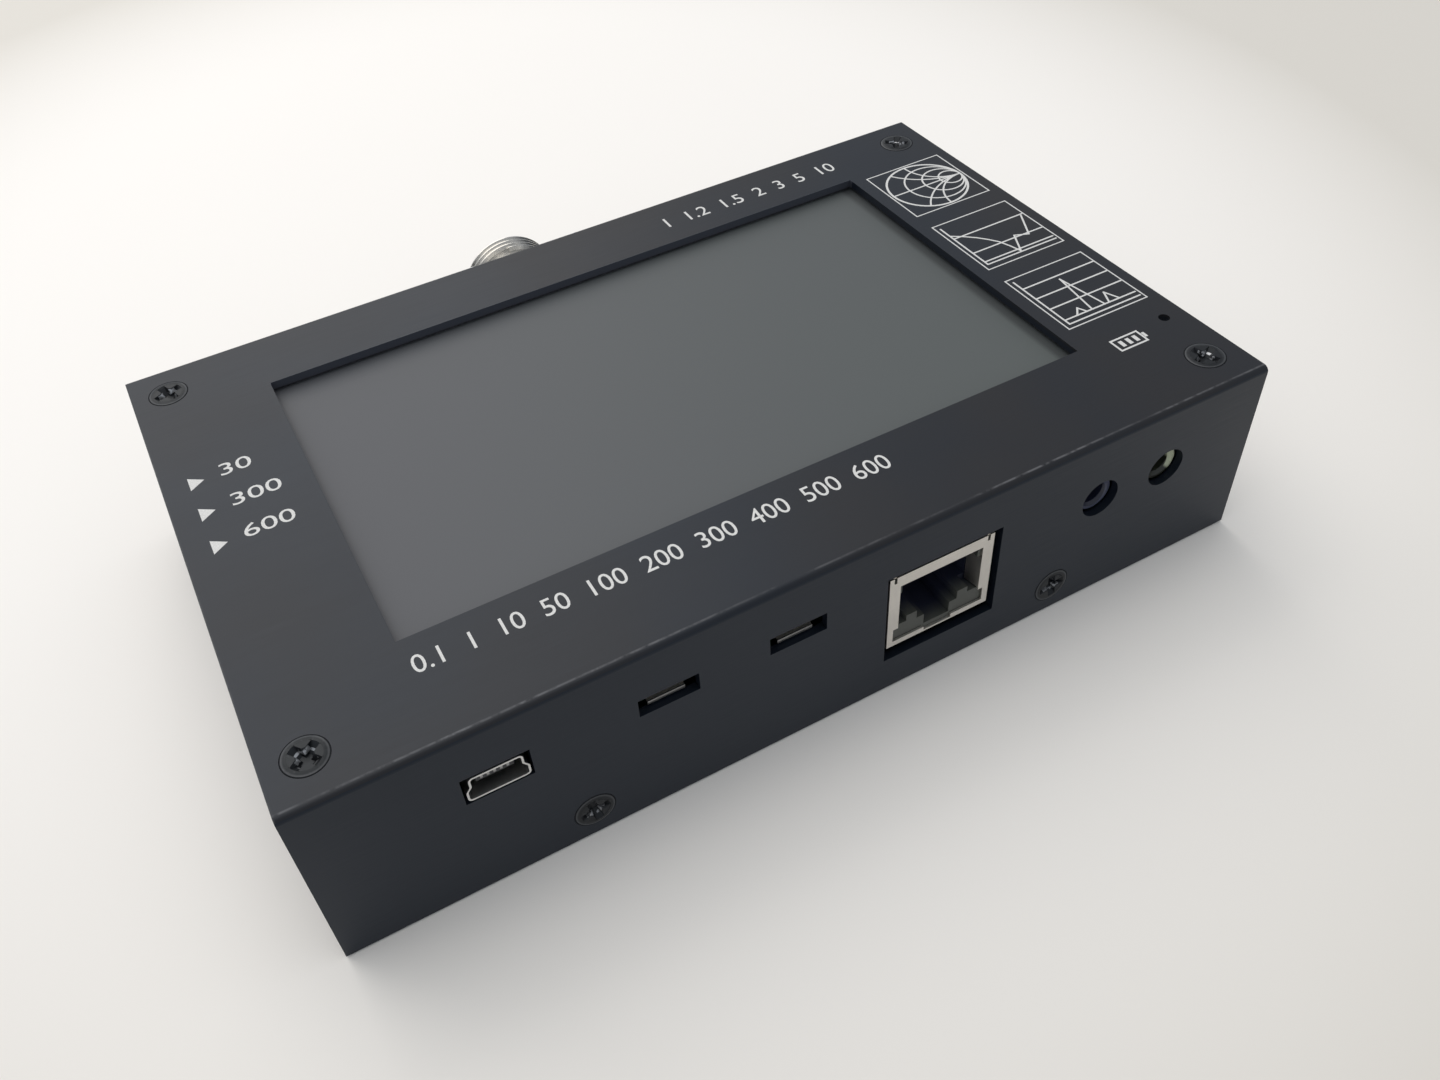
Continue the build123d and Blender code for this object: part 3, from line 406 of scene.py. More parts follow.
def cut_off(bm, out, place, geometry=None):
    """Cut away what lies beyond a plane that faces out, and return the edges of the cut."""
    geometry = geometry or bm.verts[:] + bm.edges[:] + bm.faces[:]
    cut = bmesh.ops.bisect_plane(bm, geom=geometry, dist=ON_PLANE, plane_co=place, plane_no=out,
                                 clear_outer=True)["geom_cut"]
    return [part for part in cut if isinstance(part, bmesh.types.BMEdge) and part.is_boundary]


def settle(name, bm, material, body=CASE_BODY, replaces=()):
    """Turn a bmesh into a finished piece that rides on a body."""
    bmesh.ops.recalc_face_normals(bm, faces=bm.faces)
    mesh = bpy.data.meshes.new(name)
    bm.to_mesh(mesh)
    bm.free()
    mesh.materials.append(material)
    mesh.shade_smooth()
    mesh.set_sharp_from_angle(angle=SHARP)
    piece = bpy.data.objects.new(name, mesh)
    bpy.context.scene.collection.objects.link(piece)
    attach(piece, body)
    if replaces:
        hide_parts(*replaces)
    return piece


def softened(name, node, material, width, reshape):
    """Take a CAD node's place with a copy that is reshaped and has its sharp edges rounded."""
    bm = copy_node(node)
    reshape(bm)
    merge_flats(bm)
    piece = settle(name, bm, material, replaces=(node,))
    edges = piece.modifiers.new("edges", "BEVEL")
    edges.width = width
    edges.segments = 2
    edges.limit_method = "ANGLE"
    edges.angle_limit = SHARP
    edges.harden_normals = True
    normals = piece.modifiers.new("normals", "WEIGHTED_NORMAL")
    normals.weight = 100
    normals.keep_sharp = True
    return piece


def tighten_bends(bm):
    """Draw the outside of the cover's two long bends to a tighter radius."""
    for vert in bm.verts:
        side = math.copysign(1, vert.co.y)
        off_y = abs(vert.co.y) - (abs(FACE_FRONT) - BEND_R)
        off_z = vert.co.z - (PLATE_TOP - BEND_R)
        off_bend = abs(math.hypot(off_y, off_z) - BEND_R)
        if min(off_y, off_z) < -NEAR or off_bend > 2 * NEAR:
            continue
        vert.co.y = side * (abs(FACE_FRONT) - TIGHT_R + off_y * TIGHT_R / BEND_R)
        vert.co.z = PLATE_TOP - TIGHT_R + off_z * TIGHT_R / BEND_R


def widen_cover(bm):
    """Run the cover out to the full width of the case, over the tray's side panels."""
    ends = max(vert.co.x for vert in bm.verts)
    for vert in bm.verts:
        if abs(vert.co.x) > ends - NEAR:
            vert.co.x = math.copysign(COVER_END, vert.co.x)
    tighten_bends(bm)


def slip_panels(bm):
    """Cut the tray's side panels back, to end under the cover's plate and behind its flanges."""
    for out, reach in (((0, -1, 0), PANEL_REACH), ((0, 1, 0), PANEL_REACH), ((0, 0, 1), PANEL_TOP)):
        faces = [face for face in bm.faces if all(abs(v.co.x) > PANEL_IN for v in face.verts)]
        edges = dict.fromkeys(edge for face in faces for edge in face.edges)
        verts = dict.fromkeys(vert for face in faces for vert in face.verts)
        rings = cut_off(bm, out, Vector(out) * reach, [*verts, *edges, *faces])
        if len(rings) < 8:
            raise RuntimeError("the side panels weren't cut")
        bmesh.ops.holes_fill(bm, edges=rings)


def drive_heads(bm, out, turns):
    """Turn each screw, widen the mouth of its recess, and round off the edge of its head.

    Out is the way the heads face. Turns gives each screw's angle in degrees, by the middle of its
    head's rim."""
    out = Vector(out)
    for middle, degrees in turns.items():
        turn = Matrix.Rotation(math.radians(degrees), 3, out)
        for vert in bm.verts:
            reach = vert.co - Vector(middle)
            height = reach.dot(out)
            flat = reach - out * height
            radius = flat.length
            if radius > HEAD_R + 10 * NEAR:
                continue
            if radius < RECESS_R and height > -RECESS_DEPTH:
                flat *= 1 + RECESS_FLARE * (height + RECESS_DEPTH) / RECESS_DEPTH
            if height > -MERGE:
                share = min(1.0, (HEAD_R + HEAD_LIP - radius) / HEAD_ROUND)
                height = max(height, HEAD_RISE * max(0.0, share) ** HEAD_SWELL)
            vert.co = Vector(middle) + turn @ flat + out * height


def slab(bm, low, high, round_by):
    """A box between two corners, with its edges rounded."""
    low, high = Vector(low), Vector(high)
    place = Matrix.Translation((low + high) / 2) @ Matrix.Diagonal((*(high - low), 1))
    made = bmesh.ops.create_cube(bm, size=1.0, matrix=place)["verts"]
    edges = list(dict.fromkeys(edge for vert in made for edge in vert.link_edges))
    bmesh.ops.bevel(bm, geom=edges, offset=round_by, affect="EDGES", segments=2, profile=0.5,
                    material=-1)


# ---- printed marks
CAP_SHARE = 0.73    # a numeral's height, as a share of its font's size
ARC_STEPS = 9       # steps of an arc in one radian


class Print:
    """Flat printed marks on the top plate, drawn in millimetres and given the ink's thickness."""

    def __init__(self, look):
        self.bm = bmesh.new()
        self.look = look
        self.width = look.line_width / MM
        self.rise = 0.0

    def lift(self, verts):
        """Set a stroke a hair above the one before, so that no two tops lie in one plane."""
        self.rise += self.look.stroke_step / MM
        for vert in verts:
            vert.co.z = self.rise

    def bar(self, start, end, width=None):
        """A straight line."""
        width = width or self.width
        start, end = Vector(start), Vector(end)
        run = end - start
        middle = (start + end) / 2
        place = Matrix.Translation((middle.x, middle.y, 0))
        place @= Matrix.Rotation(math.atan2(run.y, run.x), 4, "Z")
        place @= Matrix.Diagonal((run.length + width, width, 1, 1))
        made = bmesh.ops.create_grid(self.bm, x_segments=1, y_segments=1, size=0.5, matrix=place)
        self.lift(made["verts"])

    def run(self, points, width=None):
        """A line through several points."""
        for start, end in zip(points, points[1:]):
            self.bar(start, end, width)

    def arc(self, centre, radius, start=0.0, sweep=math.tau, width=None):
        """A curved line round a centre."""
        width = width or self.width
        reach = Vector((math.cos(start), math.sin(start), 0))
        middle = Vector((*centre, 0))
        ends = [self.bm.verts.new(middle + reach * (radius + side * width / 2)) for side in (-1, 1)]
        edge = self.bm.edges.new(ends)
        whole = abs(sweep) >= math.tau
        self.lift(ends)
        bmesh.ops.spin(self.bm, geom=[*ends, edge], cent=middle, axis=(0, 0, 1), angle=sweep,
                       steps=max(6, int(abs(sweep) * ARC_STEPS)), use_merge=whole,
                       dvec=(0, 0, 0))

    def triangle(self, left, middle_y, size):
        """A filled triangle that points right."""
        width, height = size
        corners = ((0, height / 2), (0, -height / 2), (width, 0))
        self.bm.faces.new([self.bm.verts.new((left + x, middle_y + y, 0)) for x, y in corners])

    def digits(self, text, left, middle_y, height, length):
        """A row of numerals that runs right from left, fitted to a length."""
        curve = bpy.data.curves.new("digits", "FONT")
        curve.body = text
        curve.size = height / CAP_SHARE
        curve.align_y = "CENTER"
        curve.offset = height * self.look.digit_weight
        curve.resolution_u = 4
        holder = bpy.data.objects.new("digits", curve)
        mesh = bpy.data.meshes.new_from_object(holder)
        across = [vert.co.x for vert in mesh.vertices]
        stretch = length / (max(across) - min(across))
        fit = Matrix.Translation((left, middle_y, 0)) @ Matrix.Diagonal((stretch, 1, 1, 1))
        mesh.transform(fit @ Matrix.Translation((-min(across), 0, 0)))
        self.bm.from_mesh(mesh)
        bpy.data.objects.remove(holder)
        bpy.data.curves.remove(curve)
        bpy.data.meshes.remove(mesh)

    def frame(self, left, low, width, height, line=None):
        """A rectangular outline."""
        right, high = left + width, low + height
        self.run([(left, low), (right, low), (right, high), (left, high), (left, low)], line)

    def finish(self, name, material):
        """Give the marks their thickness and set them on the plate."""
        bmesh.ops.scale(self.bm, vec=(MM, MM, MM), verts=self.bm.verts)
        feet = self.bm.verts[:]
        raised = bmesh.ops.extrude_face_region(self.bm, geom=self.bm.faces[:])["geom"]
        tops = [v for v in raised if isinstance(v, bmesh.types.BMVert)]
        for vert in feet:
            vert.co.z = 0
        bmesh.ops.translate(self.bm, vec=(0, 0, self.look.ink_thickness), verts=tops)
        bmesh.ops.translate(self.bm, vec=(0, 0, PLATE_TOP), verts=self.bm.verts)
        return settle(name, self.bm, material)


class Chart:
    """A small printed chart: points are given as shares of its square frame, across and down."""

    def __init__(self, marks, left, low, size):
        self.marks = marks
        self.left, self.high = left, low + size
        self.size = size
        marks.frame(left, low, size, size, marks.width * 0.75)

    def at(self, across, down):
        """A point of the chart on the plate."""
        return (self.left + self.size * across, self.high - self.size * down)

    def line(self, *points):
        """A line through several points."""
        self.marks.run([self.at(*point) for point in points])

    def levels(self, start, *downs):
        """Level lines across the chart."""
        for down in downs:
            self.line((start, down), (0.98, down))


RESISTANCES = (0.32, 0.93, 2.4)    # in units of the chart's middle
REACTANCES = (0.57, 1.0)


def polar_chart(marks, left, low, size):
    """Impedance chart: circles of equal resistance, and arcs of equal reactance."""
    Chart(marks, left, low, size)
    radius = size * 0.465
    cx, cy = left + size / 2, low + size / 2
    marks.arc((cx, cy), radius, width=marks.width * 1.3)
    for resistance in RESISTANCES:
        inner = radius / (1 + resistance)
        marks.arc((cx + radius - inner, cy), inner)
    marks.bar((cx - radius, cy), (cx + radius, cy))
    for reactance in REACTANCES:
        reach = radius / reactance
        sweep = 2 * math.atan(reactance)
        for side in (-1, 1):
            marks.arc((cx + radius, cy + side * reach), reach, -side * math.pi / 2, -side * sweep)


def trace_chart(marks, left, low, size):
    """Two traces over frequency: a curve that falls to a dip, and a zigzag that climbs from it."""
    chart = Chart(marks, left, low, size)
    chart.line((0.055, 0.08), (0.055, 0.915), (0.965, 0.915))
    chart.levels(0.055, 0.32, 0.66)
    chart.line((0.055, 0.86), (0.965, 0.86))
    chart.line((0.07, 0.26), (0.17, 0.335), (0.273, 0.431), (0.355, 0.53), (0.424, 0.633),
               (0.468, 0.76), (0.505, 0.90), (0.636, 0.622), (0.783, 0.688), (0.952, 0.345))


def peaks_chart(marks, left, low, size):
    """Spectrum: one tall peak between two low ones."""
    chart = Chart(marks, left, low, size)
    chart.line((0.06, 0.065), (0.06, 0.935), (0.965, 0.935))
    chart.levels(0.06, 0.21, 0.42, 0.635)
    ground = 0.862
    chart.line((0.06, ground), (0.965, ground))
    for start, top, end, down in ((0.22, 0.30, 0.345, 0.765), (0.41, 0.49, 0.575, 0.276),
                                  (0.63, 0.70, 0.765, 0.70)):
        chart.line((start, ground), (top, down), (end, ground))


def battery_sign(marks, left, low):
    """Outline of a battery with its pole and three bars, beside the charging light."""
    marks.frame(left, low, 4.6, 2.4, 0.3)
    for across, foot, head, width in ((5.05, 0.9, 1.5, 0.45), (1.1, 0.85, 1.55, 0.6),
                                      (2.3, 0.85, 1.55, 0.6), (3.5, 0.85, 1.55, 0.6)):
        marks.bar((left + across, low + foot), (left + across, low + head), width)


# ---- settings
SHARE = {"subtype": "FACTOR", "min": 0, "max": 1}
LENGTH = {"subtype": "DISTANCE", "unit": "LENGTH", "precision": 6}
WATTS = {"subtype": "POWER", "unit": "POWER"}


def colour(name, default, description):
    """A colour setting."""
    return bpy.props.FloatVectorProperty(name=name, description=description, subtype="COLOR",
                                         size=3, min=0, max=1, default=default)


def number(name, default, description, kind=None):
    """A setting that is a plain number, or of a kind such as a length in metres."""
    return bpy.props.FloatProperty(name=name, description=description, default=default,
                                   **(kind or {}))


class CaseLook(bpy.types.PropertyGroup):
    """Finish of the folded sheet."""
    paint_colour: colour("Paint", (0.0050, 0.0078, 0.0140), "Colour of the sheet's black finish")
    paint_roughness: number("Roughness", 0.4, "Roughness of the finish", SHARE)
    sheen_index: number("Index", 1.405, "Refractive index of the finish")
    edge_radius: number("Edges", 0.13 * MM, "Rounding of the sheet's cut edges", LENGTH)
    # The bend line is where the painted highlight runs along the front bend
    bend_line: number("Bend", 0.85 * MM, "Distance of the worn line from the front face", LENGTH)


class DisplayLook(bpy.types.PropertyGroup):
    """Finish of the unlit display."""
    glass_colour: colour("Glass", (0.081, 0.089, 0.096), "Colour of the unlit display")
    glass_roughness: number("Roughness", 0.5, "Roughness of the film", SHARE)
    # The dark margin is painted shade from the window's right wall
    margin: number("Margin", 1.5 * MM, "Width of the dark margin at the display's right", LENGTH)


class PrintLook(bpy.types.PropertyGroup):
    """Printed marks on the top plate."""
    ink_colour: colour("Ink", (0.66, 0.66, 0.65), "Colour of the printed marks")
    line_width: number("Line", 0.28 * MM, "Width of the printed lines", LENGTH)
    ink_thickness: number("Thickness", 0.01 * MM, "Height of the ink above the plate", LENGTH)
    stroke_step: number("Step", 0.0004 * MM, "Height of each stroke above the one before", LENGTH)
    digit_height: number("Digits", 2.9 * MM, "Height of the large numerals", LENGTH)
    digit_weight: number("Weight", 0.0, "A numeral's extra stroke, as a share of its height")


class ThreadLook(bpy.types.PropertyGroup):
    """Thread of the RF connector."""
    pitch: number("Pitch", 25.4 / 24 * MM, "Distance from crest to crest", LENGTH)
    depth: number("Depth", 0.6 * MM, "Height of the thread", LENGTH)


class StageLook(bpy.types.PropertyGroup):
    """Floor, light and camera."""
    floor_colour: colour("Floor", (0.885, 0.862, 0.832), "Colour of the floor")
    world_level: number("World", 0.565, "Strength of the even light")
    key_level: number("Key", 5.9, "Power of the lamp behind the case", WATTS)
    top_level: number("Top", 4.9, "Power of the lamp overhead", WATTS)


LOOKS = {"case_look": CaseLook, "display_look": DisplayLook, "print_look": PrintLook,
         "thread_look": ThreadLook, "stage_look": StageLook}


# ---- operators
class ANALYSER_OT_case(bpy.types.Operator):
    """Finish the folded cover and tray"""
    bl_idname = "analyser.case"
    bl_label = "Case"

    def execute(self, context):
        look = context.scene.case_look
        paint = sheet_paint(look)
        for name, node, reshape in (("cover_sheet", "top_cover", widen_cover),
                                    ("tray_sheet", "bottom_tray", slip_panels)):
            softened(name, node, paint, look.edge_radius, reshape)
        return {"FINISHED"}


class ANALYSER_OT_fixings(bpy.types.Operator):
    """Finish the screws, spacers, standoffs and nuts"""
    bl_idname = "analyser.fixings"
    bl_label = "Fixings"

    def execute(self, context):
        for side in SCREW_TURNS:
            softened(f"{side}_screw_heads", f"{side}_screws", black_oxide(side),
                     HEAD_EDGE, reshape=lambda bm: drive_heads(bm, *head_places(side)))
        zinc = metal("zinc_plate", (0.62, 0.63, 0.65), 0.34, 2200, shift=0.2)
        dress(zinc, "board_screws", "board_spacers", "clinch_nuts", "power_board_screws",
              "power_board_posts", "rf_flange_screws", "rf_flange_nuts")
        nickel = metal("standoff_nickel", (0.68, 0.64, 0.56), 0.3, 1800, (1, 1, 0.2))
        dress(nickel, "board_standoffs")
        return {"FINISHED"}


class ANALYSER_OT_display(bpy.types.Operator):
    """Finish the touch glass, the display module and the gasket"""
    bl_idname = "analyser.display"
    bl_label = "Display"

    def execute(self, context):
        dress(touch_film(context.scene.display_look), "touch_glass")
        dress(moulded("display_module", (0.05, 0.052, 0.055), 0.35, 2500), "lcd_module")
        dress(foam(), "display_gasket", "battery_pad")
        return {"FINISHED"}


# Places on the plate, in millimetres
CHART_LEFT = 51.85
CHART_SIZE = 14.2
CHARTS = (("chart_polar", polar_chart, 14.6), ("chart_trace", trace_chart, -3.6),
          ("chart_peaks", peaks_chart, -21.6))
POINTER_LEFT = -64.5
POINTER_SIZE = (2.0, 2.7)
NUMBER_LEFT = -60.3
NUMBER_RISE = 0.5       # from the middle of a pointer to that of its number
NUMBER_SHARE = 0.9      # height of a pointer's number, against the large numerals
POINTERS = ((14.4, "30", 4.2), (7.7, "300", 6.6), (0.9, "600", 6.6))
NUMBER_ROWS = (("0.1  1  10  50  100  200  300  400  500  600", -49.0, -30.6, 64.0),
               ("1  1.2  1.5  2  3  5  10", 17.6, 35.7, 32.0))
BATTERY_SIGN = (54.5, -29.3)


class ANALYSER_OT_print(bpy.types.Operator):
    """Print the charts, markers and number scales on the top plate"""
    bl_idname = "analyser.print"
    bl_label = "Printed marks"

    def execute(self, context):
        look = context.scene.print_look
        white = ink(look)
        for name, draw, low in CHARTS:
            marks = Print(look)
            draw(marks, CHART_LEFT, low, CHART_SIZE)
            marks.finish(name, white)
        height = look.digit_height / MM
        pointers = Print(look)
        for y, number, length in POINTERS:
            pointers.triangle(POINTER_LEFT, y, POINTER_SIZE)
            pointers.digits(number, NUMBER_LEFT, y + NUMBER_RISE, height * NUMBER_SHARE, length)
        pointers.finish("band_pointers", white)
        rows = Print(look)
        for numbers, left, y, length in NUMBER_ROWS:
            rows.digits(numbers, left, y, height, length)
        battery_sign(rows, *BATTERY_SIGN)
        rows.finish("number_rows", white)
        return {"FINISHED"}


def housing_nylon(node):
    """Moulding of the network socket: grey at its front, with painted shade, dark and bluish, deep
    inside.
    """
    finish = Finish("housing_nylon")
    depth = finish.axis("Y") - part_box(node)[0].y
    deep = finish.spread(depth, 0.2 * MM, 2.5 * MM)
    flow = finish.noise(500, detail=2)
    front = finish.blend(flow, (0.044, 0.047, 0.041), (0.064, 0.068, 0.059))
    # Painted shade: the moulding turns dark and bluish with depth into the socket
    shade = finish.blend(deep, front, (0.014, 0.017, 0.035))
    return finish.surface(shade, 0.42 + flow * 0.1, finish.noise(6000, detail=2), 0.01 * MM, 0.4)


def audio_moulding(name, node, ring, colours, shade_side):
    """Moulding of an audio socket: pale, with painted shade in its mouth and, where asked, a
    painted shadow over its lower left side.
    """
    finish = Finish(name)
    low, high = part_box(node)
    half = (high.x - low.x) / 2
    across = finish.axis("X") - (low.x + half)
    up = finish.axis("Z") - (high.z - half)
    off_axis = (across ** 2 + up ** 2) ** 0.5
    flow = finish.noise(700, detail=2)
    pale, dark = colours
    # Painted shade: dark inside the mouth's radius, and over the lower left side where shade_side
    # is set
    lit = finish.spread(off_axis, ring, ring + 0.05 * MM)
    if shade_side:
        lit = lit * finish.spread(across + up * 1.3, -0.5 * MM, 0.2 * MM)
    shade = finish.blend(lit * (0.8 + flow * 0.4), dark, pale)
    return finish.surface(shade, 0.34 + flow * 0.12, flow, 0.01 * MM, 0.4)


# Material, node, radius of the mouth's painted shade, pale colour and painted shade's colour, and
# if one side lies in painted shadow
AUDIO_SOCKETS = (
    ("navy_socket", "audio_socket_left", 2.02 * MM,
     ((0.060, 0.068, 0.11), (0.013, 0.016, 0.034)), False),
    ("green_socket", "audio_socket_right", 1.78 * MM,
     ((0.46, 0.50, 0.36), (0.018, 0.02, 0.014)), True))


class ANALYSER_OT_sockets(bpy.types.Operator):
    """Finish the USB, network, audio and charging sockets"""
    bl_idname = "analyser.sockets"
    bl_label = "Sockets"

    def execute(self, context):
        shell = metal("socket_shell", (0.72, 0.69, 0.64), 0.36, 2600, (1, 0.15, 1), 0.18)
        dress(shell, "micro_usb_shells", "charge_socket_shell", "network_shell", "rf_shield_can")
        bright = metal("bright_shell", (0.72, 0.72, 0.71), 0.33, 2600, (1, 0.15, 1), 0.12)
        dress(bright, "mini_usb_shell")
        black = moulded("black_nylon", (0.03, 0.031, 0.034), 0.45)
        dress(black, "mini_usb_insert", "micro_usb_inserts", "charge_socket_insert",
              "header_sockets", "header_strips")
        dress(housing_nylon("network_housing"), "network_housing")
        gold = metal("contact_gold", (0.83, 0.62, 0.28), 0.28, 3000)
        dress(gold, "network_contacts", "rf_centre_contact")
        for name, node, ring, colours, shade_side in AUDIO_SOCKETS:
            dress(audio_moulding(name, node, ring, colours, shade_side), node)
        mini_contacts(metal("contact_tin", (0.45, 0.45, 0.44), 0.4, 4000))
        micro_lips(metal("lip_steel", (0.36, 0.36, 0.355), 0.45, 3000, (0.2, 1, 1)))
        return {"FINISHED"}


# The corners of one contact end and of one rolled lip, from the place of each
CONTACT = (Vector((-0.17, -0.05, -0.35)) * MM, Vector((0.17, 1.2, 0.58)) * MM)
CONTACT_ROUND = 0.04 * MM
CONTACT_PITCH = 0.8 * MM
CONTACT_DROP = 1.55 * MM    # from the top of the shell
LIP = (Vector((-2.5, -0.1, -0.26)) * MM, Vector((2.5, 0.16, 0.34)) * MM)
LIP_ROUND = 0.08 * MM
MICRO_HALF = 3.75 * MM      # half the width of a micro USB shell


def row_of_slabs(name, places, corners, round_by, material):
    """A piece made of like slabs, one at each place."""
    bm = bmesh.new()
    for place in places:
        slab(bm, *(Vector(place) + corner for corner in corners), round_by)
    settle(name, bm, material)


def mini_contacts(material):
    """Five contact ends on the tongue of the mini USB socket."""
    low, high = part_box("mini_usb_insert")
    middle_x = (low.x + high.x) / 2
    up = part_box("mini_usb_shell")[1].z - CONTACT_DROP
    places = [(middle_x + i * CONTACT_PITCH, low.y, up) for i in range(-2, 3)]
    row_of_slabs("mini_usb_contacts", places, CONTACT, CONTACT_ROUND, material)


def micro_lips(material):
    """Rolled front edges of the flared lips of the two micro USB shells."""
    low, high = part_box("micro_usb_shells")
    places = [(x, low.y, low.z) for x in (low.x + MICRO_HALF, high.x - MICRO_HALF)]
    row_of_slabs("micro_usb_lips", places, LIP, LIP_ROUND, material)


class ANALYSER_OT_connector(bpy.types.Operator):
    """Model the RF connector's thread, and finish the connector"""
    bl_idname = "analyser.connector"
    bl_label = "RF connector"

    def execute(self, context):
        look = context.scene.thread_look
        nickel = metal("connector_nickel", (0.72, 0.70, 0.66), 0.24, 2600, (1, 0.2, 1), 0.15)
        threaded_barrel(look, nickel)
        dress(moulded("ptfe", (0.8, 0.8, 0.77), 0.45, 4000, 0.08), "rf_insulator")
        dress(metal("tinned_copper", (0.7, 0.68, 0.66), 0.35, 2500), "rf_feed_wire")
        return {"FINISHED"}


FLANGE_PLATE = 2.4 * MM
FLANGE_RIM = 12.2 * MM      # what lies beyond this on the flange's face is its rim
FLANGE_CORNER = 1.0         # the faces of its outer edge meet at more than this, in radians
FLANGE_CHAMFER = 0.9 * MM
BARREL_START = 5 * MM       # the new barrel begins this far out from the flange's back
BARREL_STEPS = 128
NECK_R = 7.4 * MM
CREST_R = 7.94 * MM
BORE_R = 4.2 * MM
MOUTH_R = 5.6 * MM
MOUTH_DEPTH = 1.2 * MM
MOUTH_EDGE = 0.15 * MM      # chamfer of the mouth
TIP_EDGE = 0.25 * MM        # chamfer of the barrel's outside at its tip
NECK_STEP = 0.1 * MM        # length of the cone from the neck down to the thread's root
THREAD_LENGTH = 4.6 * MM
THREAD_END = 0.9 * MM       # the ridge stops this far short of the tip
THREAD_STEPS = 80           # steps of the helix in one turn
CREST_SHARE = 0.08          # half the width of the ridge at its crest, in pitches
FOOT_SHARE = 0.42           # and at its foot
FOOT_SINK = 0.05 * MM       # how far the foot reaches into the barrel


def threaded_barrel(look, material):
    """The connector's body with its real thread: the node's flanged half, and a new barrel."""
    low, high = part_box("rf_connector_body")
    centre = Vector(((low.x + high.x) / 2, 0, (low.z + high.z) / 2))
    cut, tip = low.y + BARREL_START, high.y
    bm = copy_node("rf_connector_body")
    bmesh.ops.bridge_loops(bm, edges=cut_off(bm, (0, 1, 0), (0, cut, 0)))
    merge_flats(bm)
    chamfer_flange(bm, centre, low.y + FLANGE_PLATE)
    root = CREST_R - look.depth
    thread = tip - THREAD_LENGTH
    lathe(bm, centre, [
        (BORE_R, cut), (NECK_R, cut), (NECK_R, thread - NECK_STEP), (root, thread),
        (root, tip - TIP_EDGE), (root - TIP_EDGE, tip), (MOUTH_R + MOUTH_EDGE, tip),
        (MOUTH_R, tip - MOUTH_EDGE), (MOUTH_R, tip - MOUTH_DEPTH),
        (BORE_R, tip - MOUTH_DEPTH - (MOUTH_R - BORE_R))])
    thread_ridge(bm, look, centre, root, thread, tip)
    settle("rf_barrel", bm, material, replaces=("rf_connector_body",))


def chamfer_flange(bm, centre, face):
    """Take the sharp edge off the outer face of the connector's flange."""
    def on_rim(vert):
        reach = vert.co - centre
        return abs(vert.co.y - face) < MERGE and max(abs(reach.x), abs(reach.z)) > FLANGE_RIM

    rim = [edge for edge in bm.edges if all(map(on_rim, edge.verts))
           and len(edge.link_faces) == 2 and edge.calc_face_angle() > FLANGE_CORNER]
    if len(rim) < 4:
        raise RuntimeError("the flange's outer edge wasn't found")
    bmesh.ops.bevel(bm, geom=rim, offset=FLANGE_CHAMFER, affect="EDGES", segments=1, profile=0.5,
                    material=-1)


def lathe(bm, centre, profile):
    """Spin a closed profile of (radius, height) points a full turn round the barrel's axis."""
    verts = [bm.verts.new(centre + Vector((0, h, r))) for r, h in profile]
    edges = [bm.edges.new(pair) for pair in zip(verts, verts[1:] + verts[:1])]
    bmesh.ops.spin(bm, geom=verts + edges, cent=centre, axis=(0, 1, 0), angle=math.tau,
                   steps=BARREL_STEPS, use_merge=True, dvec=(0, 0, 0))


def thread_ridge(bm, look, centre, root, start, tip):
    """A helical ridge: its section is spun and moved along the axis at each step."""
    foot, crest = look.pitch * FOOT_SHARE, look.pitch * CREST_SHARE
    sunk = root - FOOT_SINK
    middle = start + foot
    section = [(sunk, -foot), (CREST_R, -crest), (CREST_R, crest), (sunk, foot)]
    face = bm.faces.new([bm.verts.new(centre + Vector((0, middle + h, r))) for r, h in section])
    steps = int(THREAD_STEPS * (tip - start - THREAD_END) / look.pitch)
    bmesh.ops.spin(bm, geom=[face], cent=centre, axis=(0, 1, 0),
                   angle=math.tau * steps / THREAD_STEPS, steps=steps, use_merge=False,
                   dvec=(0, look.pitch / THREAD_STEPS, 0))


class ANALYSER_OT_boards(bpy.types.Operator):
    """Finish the boards, their chips and their push buttons"""
    bl_idname = "analyser.boards"
    bl_label = "Boards"

    def execute(self, context):
        dress(board_mask(), "main_board", "rf_board", "power_board")
        dress(moulded("chip_epoxy", (0.02, 0.02, 0.021), 0.6, 8000), "main_chips", "rf_chips")
        black = moulded("switch_nylon", (0.02, 0.02, 0.022), 0.45)
        dress(black, "push_switch_bodies", "reset_button")
        dress(moulded("blue_cap", (0.02, 0.06, 0.28), 0.4), "user_button")
        return {"FINISHED"}


class ANALYSER_OT_power(bpy.types.Operator):
    """Finish the battery, the slide switch and the light guide"""
    bl_idname = "analyser.power"
    bl_label = "Power"

    def execute(self, context):
        dress(foil(), "battery")
        black = moulded("slide_switch", (0.02, 0.02, 0.021), 0.4)
        dress(black, "power_switch_body")
        ridged_lever(black)
        dress(clear_plastic(), "light_pipe", "charge_led")
        return {"FINISHED"}


RIDGES = 4
RIDGE_SHARE = 0.6           # width of a ridge, in pitches
RIDGE_INSET = 0.05 * MM     # from the lever's upper and lower face
RIDGE_ROUND = 0.12 * MM
GROOVE = 0.35 * MM


